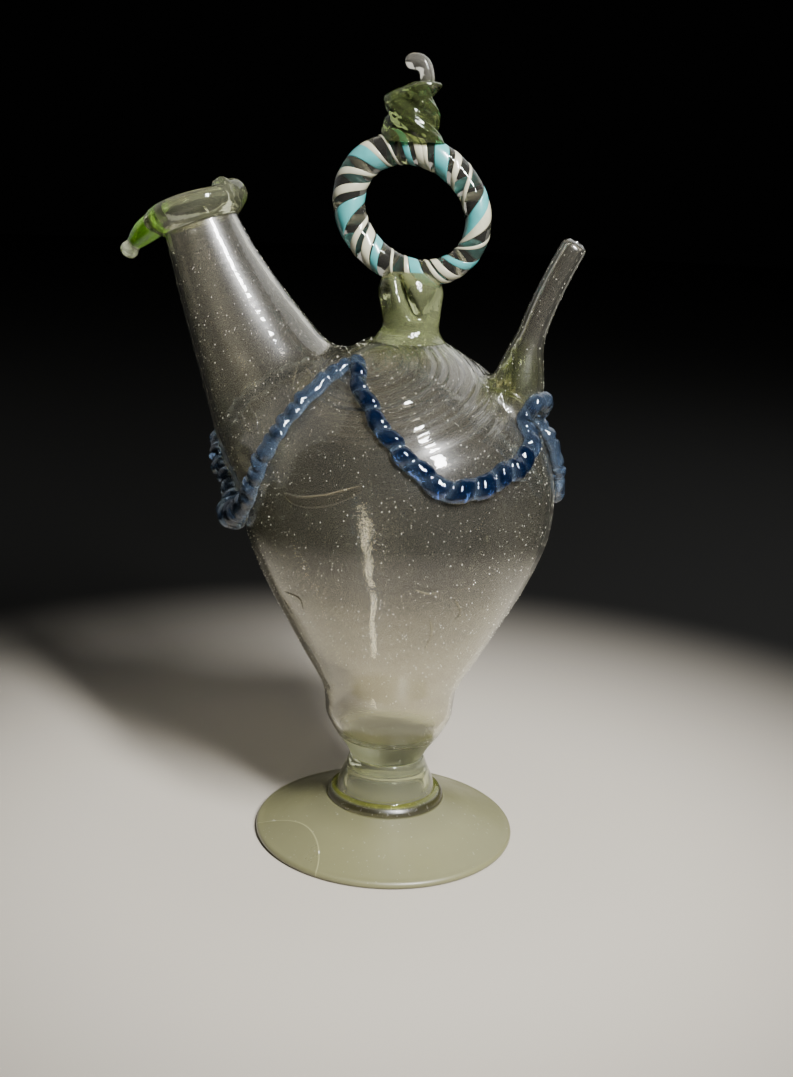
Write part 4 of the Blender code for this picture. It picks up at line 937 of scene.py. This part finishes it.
def build_foot(clear, hazy):
    """Both sections turned about Z; the bell is closed by one point above and one below."""
    bell_outline, cone_outline = foot_outlines()
    cone, upper = Skin(), Skin()
    cone.hoop(turned(cone_outline, 192))
    place("foot_cone", cone.mesh("foot_cone"), hazy, "foot_glass", "foot")
    ceiling = FOOT_HEIGHT - FOOT_CEILING + 0.1 * MM
    upper.capped(turned(bell_outline, 192), (0, 0, FOOT_HEIGHT), (0, 0, ceiling))
    return place("foot_bell", upper.mesh("foot_bell"), clear, "foot_glass")


# Lip and green drop


def mouth_frame():
    """Centre of the filling mouth, its axis, and the direction across it that points at the jug's axis."""
    centres, _ = fill_spout(np.array([0.98, 1.0]))
    along = unit(centres[1] - centres[0])
    return centres[1], along, np.cross(Y, along)


def build_lip(material):
    """A hooked section carried round the mouth. Its crest rises by sin^2(a) mm at both sides, and by 2.2
    cos^14(a) mm near the jug's axis, where the thread of glass was laid over its own start, and where its
    end stands up as a small nib of 2.2 cos^160(a + 20 deg) mm."""
    seat, low = FILL_MOUTH + LIP_GAP, -LIP_SKIRT
    flare, inner = LIP_RADIUS - seat, seat - LIP_INSIDE
    outer = [
        (seat + 0.10 * flare, low), (seat + 0.42 * flare, low + 0.16 * LIP_HEIGHT),
        (seat + 0.90 * flare, low + 0.42 * LIP_HEIGHT), (LIP_RADIUS, low + 0.66 * LIP_HEIGHT),
        (seat + 0.82 * flare, low + 0.88 * LIP_HEIGHT), (seat + 0.40 * flare, low + LIP_HEIGHT),
        (LIP_INSIDE + 0.30 * inner, low + 0.92 * LIP_HEIGHT), (LIP_INSIDE, low + 0.55 * LIP_HEIGHT),
    ]
    section = np.vstack([smooth_curve(outer, 6), [(LIP_INSIDE, 0.1 * MM), (seat, 0.1 * MM), (seat, low)]])
    angles = round_turn(288)
    centre, along, across = mouth_frame()
    side_rise, lap_rise, nib_rise, nib_at = 1.0 * MM, 2.2 * MM, 2.2 * MM, -0.35
    lap = lap_rise * np.maximum(0, np.cos(angles)) ** 14 + side_rise * np.sin(angles) ** 2
    nib = nib_rise * np.maximum(0, np.cos(angles - nib_at)) ** 160
    radial = np.cos(angles)[:, None] * across + np.sin(angles)[:, None] * Y
    rises = np.clip(section[:, 1] / (0.7 * LIP_HEIGHT), 0, 1)
    radius = section[:, 0] + 0.3 * lap[:, None] * rises
    height = section[:, 1] + lap[:, None] * rises + nib[:, None] * rises**4
    skin = Skin()
    skin.hoop(centre + radius[:, :, None] * radial[:, None] + height[:, :, None] * along)
    return place("lip_glass", skin.mesh("lip_glass"), material, "clear_glass", "mouth_lip")


def build_prunt(material):
    """The green drop: a round tube, path + radius (cos a Y + sin a n) with n square to Y and the path. The
    path bows by sin(pi t), the radius is a smooth curve through values read from the photo, and the end is a
    round bead."""
    centre, along, across = mouth_frame()
    edge = centre - LIP_RADIUS * across + 0.45 * LIP_HEIGHT * along
    droop = np.array([-math.cos(DROP_SLANT), 0, -math.sin(DROP_SLANT)])
    t, angles = np.linspace(0, 1, 70), round_turn(40)
    curve = smooth_curve(DROP_RADII, 12)
    radii = np.interp(t, curve[:, 0], curve[:, 1]) * MM
    path = edge + (DROP_LONG * t - DROP_INSIDE)[:, None] * droop
    path += (DROP_BOW * np.sin(math.pi * t))[:, None] * along
    beside = np.cross(unit(np.gradient(path, axis=0)), Y)
    ring = np.cos(angles)[:, None] * Y + np.sin(angles)[:, None] * beside[:, None]
    skin = Skin()
    skin.capped(path[:, None] + radii[:, None, None] * ring, path[0], path[-1] + 0.2 * MM * droop)
    bead = np.append(np.repeat(ease((t - 0.66) / 0.08), len(angles)), (0, 1))
    mesh = skin.mesh("green_drop", {"bead": bead})
    return place("green_drop", mesh, material, "green_glass", "green_prunt")


# Trail


def on_wall(turns):
    """Points where level rays from outside meet the glass: spheres traced along the rays. Each turn is
    (angle in degrees, depth below the crown in millimetres)."""
    angle = np.radians(turns[:, 0])
    outward = np.stack([np.cos(angle), np.sin(angle), np.zeros(len(angle))], axis=1)
    points = 0.24 * outward + (CROWN_Z - turns[:, 1] * MM)[:, None] * Z
    for _ in range(60):
        points = points - (0.9 * FIELD(points))[:, None] * outward
    return points


def trail_path(spacing):
    """The trail's middle on the wall, in equal steps, and its length."""
    turns = np.array(TRAIL_ROUTE, float)
    whole = np.array([360.0, 0.0])
    knots = np.vstack([turns[-1] + whole, turns, turns[0] - whole, turns[1] - whole])
    path = on_wall(smooth_curve(knots, 16)[16:-17])
    for _ in range(4):
        path = (np.roll(path, 1, axis=0) + 2 * path + np.roll(path, -1, axis=0)) / 4
    _, length = evenly(path, 8, closed=True)
    path, _ = evenly(path, round(length / spacing), closed=True)
    return FIELD.settled(path, 0.0, 3), length


def build_trail(sizes, material):
    """A flat-bottomed rope carried round the wall. Each point of its section is set out across the path,
    settled on the wall and lifted. The rope widens from its peaks down to 45 mm below the crown, and swells
    to a lump under the filling spout. The pinches narrow and lower it: pinch = |cos(pi (n + 0.14 x))|^7,
    where n counts ribs along the path, closer together and shallower on the two side strands, and x runs
    across the rope."""
    path, length = trail_path(0.75 * MM)
    count = len(path)
    ahead = unit(np.roll(path, -1, axis=0) - np.roll(path, 1, axis=0))
    normal = unit(FIELD.slope(path))
    across = unit(np.cross(ahead, normal))
    angle = np.degrees(np.unwrap(np.arctan2(path[:, 1], path[:, 0])))
    angle -= 360 * np.round((angle[0] + 3) / 360)
    long_ribs = sum(ease((angle - first) / 12) * ease((last - angle) / 12) for first, last in LONG_RIBS)
    turns = round_turn(count)
    strand = 1 - long_ribs
    spacing = STRAND_RIB + (FRONT_RIB - STRAND_RIB) * long_ribs
    spacing *= 1 + 0.14 * np.sin(11 * turns) + 0.08 * np.sin(29 * turns)
    ribs = np.cumsum(length / count / spacing)
    ribs *= round(ribs[-1]) / ribs[-1]
    right = [(0.25, 1), (0.75, 0.82), (1, 0.42), (0.9, 0.12), (0.62, 0.0)]
    left = [(-x, high) for x, high in reversed(right)]
    section = smooth_curve([*left, *right, (0, -0.05)], 3, closed=True)
    pinch = np.abs(np.cos(math.pi * (ribs[:, None] + 0.14 * section[:, 0]))) ** 7
    pinch = pinch * (0.8 + 0.35 * np.sin(1.7 * ribs) * np.sin(0.61 * ribs + 1) - 0.3 * strand)[:, None]
    wander = np.sin(math.pi * ribs + 0.6)[:, None] * 0.5 * MM
    low = np.clip((CROWN_Z - path[:, 2]) / TRAIL_LOWEST, 0, 1)
    lump = bell(angle, LUMP_ANGLE, LUMP_SPREAD)
    half = 0.5 * (sizes.trail_peak + low * (sizes.trail_width - sizes.trail_peak)) * (1 + 0.3 * lump)
    half = (half * (0.93 + 0.07 * np.sin(0.37 * ribs)))[:, None] * (1 - 0.15 * pinch)
    varied = 0.87 + 0.07 * np.sin(0.9 * ribs + 1) + 0.06 * np.sin(2.3 * ribs)
    tall = (sizes.trail_height * (1 + lump) * varied)[:, None] * (1 - 0.45 * pinch)
    aside = section[:, 0] * half + wander
    feet = path[:, None] + aside[:, :, None] * across[:, None] + 0.5 * MM * normal[:, None]
    feet = FIELD.settled(feet, 0.0, 3)
    lift = np.where(section[:, 1] > 0, section[:, 1] * tall, 4 * MM * section[:, 1])
    skin = Skin()
    skin.hoop(feet + lift[:, :, None] * normal[:, None])
    edges = np.abs(section[:, 0]) ** 4 * (0.8 - np.clip(section[:, 1], 0, 0.8))
    thin = np.clip(edges + 0.6 * pinch**2 + 0.3 * strand[:, None], 0, 1).ravel()
    mesh = skin.mesh("blue_trail_glass", {"thin": thin})
    return place("blue_trail_glass", mesh, material, "cobalt_glass", "blue_trail")


# Post, ring and finial


def build_post(material):
    """A lump of revolution whose radius swells at foot and head, with three grooves that climb in a helix:
    radius (1 + g (cos 3(a - twist z) - 0.35 cos 6(a - twist z))). The groove in front is pinched deeper."""
    bottom = CROWN_Z + 0.05 * MM
    share, angles = np.linspace(0, 1, 110)[:, None], round_turn(144)
    foot_ends, head_at, head_spread, top_begins = 0.25, 0.72, 0.18, 0.85
    radius = POST_RADIUS + POST_FOOT * np.maximum(0, 1 - share / foot_ends) ** 2
    radius += POST_HEAD * bell(share, head_at, head_spread)
    radius -= POST_TOP_IN * np.maximum(0, (share - top_begins) / (1 - top_begins)) ** 2
    groove_depth, groove_begins, groove_long = 0.085, 0.08, 0.8
    phase = 3 * (angles - POST_TWIST * share)
    groove = groove_depth * np.sin(math.pi * np.clip((share - groove_begins) / groove_long, 0, 1))
    radius = radius * (1 + groove * (np.cos(phase) - 0.35 * np.cos(2 * phase)))
    pinch_depth, pinch_spread, pinch_begins = 0.34, 0.2, 0.3
    from_pinch = angles - np.radians(-58 - 42 * (share - 0.35) / 0.55)
    from_pinch = (from_pinch + math.pi) % TAU - math.pi
    pinched = ease((share - pinch_begins) / 0.14) * ease((1.0 - share) / 0.1)
    radius = radius * (1 - pinch_depth * pinched * bell(from_pinch, 0, pinch_spread))
    height = np.broadcast_to(bottom + share * (POST_TOP - bottom), radius.shape)
    points = np.stack([POST_OUT + radius * np.cos(angles), radius * np.sin(angles), height], axis=2)
    skin = Skin()
    skin.capped(points, (POST_OUT, 0, bottom), (POST_OUT, 0, POST_TOP))
    return place("post_glass", skin.mesh("post_glass"), material, "green_tinted_glass", "handle_post")


def ring_place(turn, around, radius):
    """Points of the ring: centre + long cos(turn) one + short sin(turn) two, and radius out from that
    middle line at the angle around. The radius grows by RING_SWELL towards the ring's upper left."""
    level = np.array([math.cos(RING_TURN), math.sin(RING_TURN), 0])
    long_way = math.cos(RING_LEAN) * level + math.sin(RING_LEAN) * Z
    short_way = math.cos(RING_LEAN) * Z - math.sin(RING_LEAN) * level
    middle = np.array([RING_OUT, 0, POST_TOP - RING_SINK + RING_TUBE + RING_RISE])
    c, s = np.cos(turn)[..., None], np.sin(turn)[..., None]
    centre = middle + RING_LONG * c * long_way + RING_SHORT * s * short_way
    outward = unit(RING_SHORT * c * long_way + RING_LONG * s * short_way)
    swell = RING_SWELL * outward @ (math.cos(RING_SWELL_AT) * level + math.sin(RING_SWELL_AT) * Z)
    spoke = np.cos(around)[..., None] * outward + np.sin(around)[..., None] * np.cross(level, Z)
    return centre + (radius + swell)[..., None] * spoke


def build_ring(sizes, clear, white, turquoise):
    """The cane bent into an oval: a clear tube, and opaque threads that run round it in helices, each a low
    ridge just proud of the tube. The cane was stretched unevenly: phase = n t + 0.2 sin(2 (2 pi t - 120
    deg)), and each thread strays from it by small sines of its own."""
    core = RING_TUBE - 0.18 * MM
    skin = Skin()
    skin.hoop(ring_place(*np.meshgrid(round_turn(220), round_turn(48), indexing="ij"), core))
    ring = place("ring_clear_cane", skin.mesh("ring_clear_cane"), clear, "twisted_cane", "ring_handle")
    mean = 0.5 * (RING_LONG + RING_SHORT)
    steps = sizes.cane_turns * 60
    t = np.arange(steps) / steps
    phase = sizes.cane_turns * t + 0.2 * np.sin(2 * (TAU * t - math.radians(120)))
    density = np.gradient(phase, t) / sizes.cane_turns
    across = np.linspace(-1, 1, 11)
    over = np.concatenate([across, across[-2:0:-1]])
    under = np.concatenate([np.zeros(11), np.ones(9)])
    lift = np.where(under > 0, -0.9 * MM * (1 - over**2), 0.17 * MM * (1 - over**2) - 0.02 * MM)
    for name, material in (("ring_turquoise_thread", turquoise), ("ring_white_threads", white)):
        skin = Skin()
        for start, width in THREADS[name]:
            half = (0.5 * width * MM * (1 + 0.35 * np.sin(TAU * (5 * t + 3 * start))) / density)[:, None]
            turn = TAU * t[:, None] + half * over / mean
            stray = start + 0.06 * np.sin(TAU * (3 * t + 5 * start)) + 0.03 * np.sin(TAU * (7 * t + start))
            skin.hoop(ring_place(turn, -TAU * (phase + stray)[:, None], core + lift))
        place(name, skin.mesh(name), material, "twisted_cane")
    return ring


def build_finial(material):
    """Three round lobes twisted left-handed up a leaning line, whose stem hooks over in an arc. Level
    sections, radius thick (1 + 0.15 w (2 |cos((3a - turn) / 2)| - 1.2 + 0.12 cos 4(3a - turn))), flattened
    by 0.24 w across, with w = 1 where it is wound and 0 on the stem; turn gains a whole turn each
    FINIAL_TIER. On the arc the sections tilt with the path, and the thickened tip is rounded by
    sqrt(1 - (1 - d / r)^2) over its last radius r."""
    base = POST_TOP - RING_SINK + 2 * RING_RISE + 1.4 * RING_TUBE
    middle = np.array([CURL_OUT, base + FINIAL_TALL - CURL_RADIUS])
    knots = [(out * MM, base + share * FINIAL_TALL) for out, share in FINIAL_LINE]
    knots.append((CURL_OUT + 1.06 * CURL_RADIUS, base + 0.74 * FINIAL_TALL))
    knots += [middle + CURL_RADIUS * np.array([math.cos(a), math.sin(a)]) for a in (0.1, 0.7, 1.3, 1.9, 2.5)]
    steps = 170
    curve, long = evenly(smooth_curve(knots, 16), steps)
    share = np.linspace(0, 1, steps)
    slope = np.gradient(curve, axis=0)
    heading = np.unwrap(np.arctan2(slope[:, 0], slope[:, 1]))
    fade = np.clip(1 - share / FINIAL_WOUND, 0, 1)
    wound = np.minimum(1, 4 * fade)[:, None]
    left = (1 - share) * long / CURL_TIP
    thick = CURL_TUBE + (FINIAL_RADIUS - CURL_TUBE) * fade**0.3
    thick += (CURL_TIP - CURL_TUBE) * np.clip(2 - 0.7 * left, 0, 1)
    thick = (thick * np.sqrt(1 - np.clip(1 - left, 0, 0.995) ** 2))[:, None]
    tilt = (1 - wound) * np.minimum(heading, 0)[:, None]
    turn = (math.radians(-16) - TAU * share * long / FINIAL_TIER)[:, None]
    angles = round_turn(120)
    lobes = 2 * np.abs(np.cos((3 * angles - turn) / 2)) - 1.2 + 0.12 * np.cos(4 * (3 * angles - turn))
    lobe_depth, flattened = 0.15, 0.24
    bulge = thick * (1 + lobe_depth * wound * lobes)
    wide, deep = bulge * np.cos(angles), (1 - flattened * wound) * bulge * np.sin(angles)
    out, high = curve[:, :1], curve[:, 1:]
    points = np.stack([out + np.cos(tilt) * wide, deep, high - np.sin(tilt) * wide], axis=2)
    skin = Skin()
    skin.capped(points, *((x, 0, z) for x, z in curve[[0, -1]]))
    return place("finial_glass", skin.mesh("finial_glass"), material, "green_tinted_glass", "finial")


# Stage


def direction(azimuth, elevation):
    """Unit direction from the jug, in degrees: azimuth 0 is to the front, 90 to the right."""
    a, e = math.radians(azimuth), math.radians(elevation)
    return np.array([math.sin(a) * math.cos(e), -math.cos(a) * math.cos(e), math.sin(e)])


def put(name, data, at, right, up, back):
    """A stage object at a place, its own axes along three directions."""
    thing = bpy.data.objects.new(name, data)
    bpy.context.scene.collection.objects.link(thing)
    matrix = np.eye(4)
    matrix[:3] = np.stack([right, up, back, at], axis=1)
    thing.matrix_world = Matrix(matrix.tolist())
    return thing


def build_floor():
    """A round floor, pale under the jug and darkening to near black further out: a painted pool of light."""
    skin = Skin()
    numbers = skin.grid(turned(np.array([(radius, 0) for radius in FLOOR_RINGS]), 96))
    skin.weave(numbers)
    skin.close(numbers[0], (0, 0, 0))
    material, tree, shader, where = new_material("pale_matte_floor")
    # Painted pool of light: pale within 0.1 m of the axis, near black beyond 0.35 m.
    painted_pool = add(tree, "step", add(tree, "distance", where, (0, 0, 0)), 0.1, 0.35)
    feed(tree, shader, {
        "Roughness": 0.7, "Specular IOR Level": 0.1,
        "Base Color": add(tree, "mix", painted_pool, shade(linear("#A09A8F")), shade(linear("#070706"))),
    })
    floor = bpy.data.objects.new("floor", skin.mesh("floor"))
    bpy.context.scene.collection.objects.link(floor)
    floor.data.materials.append(material)


def build_camera():
    """The camera at the photo's angle, level but for its pitch and a small roll."""
    data = bpy.data.cameras.new("camera")
    data.sensor_width, data.lens, data.clip_start = 36, CAMERA_LENS, 0.01
    back = direction(CAMERA_YAW, CAMERA_PITCH)
    level = unit(np.cross(Z, back))
    steep = np.cross(back, level)
    c, s = math.cos(CAMERA_ROLL), math.sin(CAMERA_ROLL)
    at = np.array([AXIS_X, 0, 0]) + CAMERA_PLACE
    bpy.context.scene.camera = put("camera", data, at, c * level + s * steep, c * steep - s * level, back)


def build_stage():
    """A pale floor whose painted pool of light falls off to dark grey, soft boxes and the camera at the
    photo's angle.
    """
    build_floor()
    world = bpy.context.scene.world or bpy.data.worlds.new("studio")
    bpy.context.scene.world = world
    world.use_nodes = True
    tree = world.node_tree
    feed(tree, tree.nodes["Background"], {"Color": shade(linear("#0B0B0B")), "Strength": 0.3})
    for name, (azimuth, elevation, power, wide, tall) in SOFTBOXES.items():
        data = bpy.data.lights.new(name, "AREA")
        data.energy, data.shape, data.size, data.size_y = power, "RECTANGLE", wide, tall
        back = direction(azimuth, elevation)
        side = unit(np.cross(Z, back))
        at = np.array([AXIS_X, 0, STAGE_MIDDLE]) + SOFTBOX_AWAY * back
        put(name, data, at, side, np.cross(back, side), back)
    build_camera()


# Operators, panel and registration


class JUG_OT_vessel(bpy.types.Operator):
    """Build the blown body with its two spouts, its marks and its seeds"""

    bl_idname = "jug.vessel"
    bl_label = "Blown Body"

    def execute(self, context):
        glass = blown_clear_glass(context.scene.jug_colours)
        vessel = build_vessel(context.scene.jug_sizes, glass)
        build_marks(glass)
        build_seeds(context.scene.jug_sizes, vessel, burst_bubbles(context.scene.jug_colours))
        return {"FINISHED"}


class JUG_OT_foot(bpy.types.Operator):
    """Build the trumpet foot"""

    bl_idname = "jug.foot"
    bl_label = "Trumpet Foot"

    def execute(self, context):
        colours = context.scene.jug_colours
        build_foot(clear_bell_glass(colours), hazy_foot_glass(colours))
        return {"FINISHED"}


class JUG_OT_lip(bpy.types.Operator):
    """Build the lip round the filling mouth and the green drop on it"""

    bl_idname = "jug.lip"
    bl_label = "Lip and Green Drop"

    def execute(self, context):
        colours = context.scene.jug_colours
        build_lip(tinted_glass("lip_glass", halfway(colours.clear, colours.tinted), 0.96, 7.14, 0.8))
        build_prunt(green_drop_glass(colours))
        return {"FINISHED"}


class JUG_OT_trail(bpy.types.Operator):
    """Build the pinched blue trail"""

    bl_idname = "jug.trail"
    bl_label = "Blue Trail"

    def execute(self, context):
        build_trail(context.scene.jug_sizes, cobalt_glass(context.scene.jug_colours))
        return {"FINISHED"}


class JUG_OT_post(bpy.types.Operator):
    """Build the twisted post and the curled finial"""

    bl_idname = "jug.post"
    bl_label = "Post and Finial"

    def execute(self, context):
        colours = context.scene.jug_colours
        build_post(tinted_glass("green_tinted_glass", colours.tinted, 0.93, 6.667, 2.4))
        curl = (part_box("finial")[1][2] - 12 * MM, colours.clear)
        build_finial(tinted_glass("thick_green_glass", colours.darker, 0.95, 6.25, 1.0, curl))
        return {"FINISHED"}


class JUG_OT_ring(bpy.types.Operator):
    """Build the ring of twisted cane"""

    bl_idname = "jug.ring"
    bl_label = "Ring Handle"

    def execute(self, context):
        colours = context.scene.jug_colours
        build_ring(
            context.scene.jug_sizes,
            # Half the clear glass's colour: painted shade that keeps the gaps between the threads dark.
            tinted_glass("clear_cane_glass", [0.5 * c for c in colours.clear], 0.97, 5.0, 0.5),
            enamel_thread("white_thread", colours.white),
            enamel_thread("turquoise_thread", colours.turquoise),
        )
        return {"FINISHED"}


class JUG_OT_stage(bpy.types.Operator):
    """Build the floor, the lights and the camera"""

    bl_idname = "jug.stage"
    bl_label = "Stage"

    def execute(self, context):
        build_stage()
        return {"FINISHED"}


class JUG_PT_panel(bpy.types.Panel):
    """Sizes, colours and pieces of the jug"""

    bl_idname = "JUG_PT_panel"
    bl_label = "Blown Glass Jug"
    bl_space_type = "VIEW_3D"
    bl_region_type = "UI"
    bl_category = "Jug"

    def draw(self, context):
        for settings in (context.scene.jug_sizes, context.scene.jug_colours):
            for name in settings.__annotations__:
                self.layout.prop(settings, name)
        for operator in PIECES:
            self.layout.operator(operator.bl_idname)


PIECES = (JUG_OT_vessel, JUG_OT_foot, JUG_OT_lip, JUG_OT_trail, JUG_OT_post, JUG_OT_ring, JUG_OT_stage)
CLASSES = (JugSizes, JugColours, *PIECES, JUG_PT_panel)


def register():
    for kind in CLASSES:
        bpy.utils.register_class(kind)
    bpy.types.Scene.jug_sizes = bpy.props.PointerProperty(type=JugSizes)
    bpy.types.Scene.jug_colours = bpy.props.PointerProperty(type=JugColours)


def unregister():
    del bpy.types.Scene.jug_colours
    del bpy.types.Scene.jug_sizes
    for kind in reversed(CLASSES):
        bpy.utils.unregister_class(kind)


def main():
    register()
    bpy.ops.jug.vessel()
    bpy.ops.jug.foot()
    bpy.ops.jug.lip()
    bpy.ops.jug.trail()
    bpy.ops.jug.post()
    bpy.ops.jug.ring()
    bpy.ops.jug.stage()


if __name__ == "__main__":
    main()
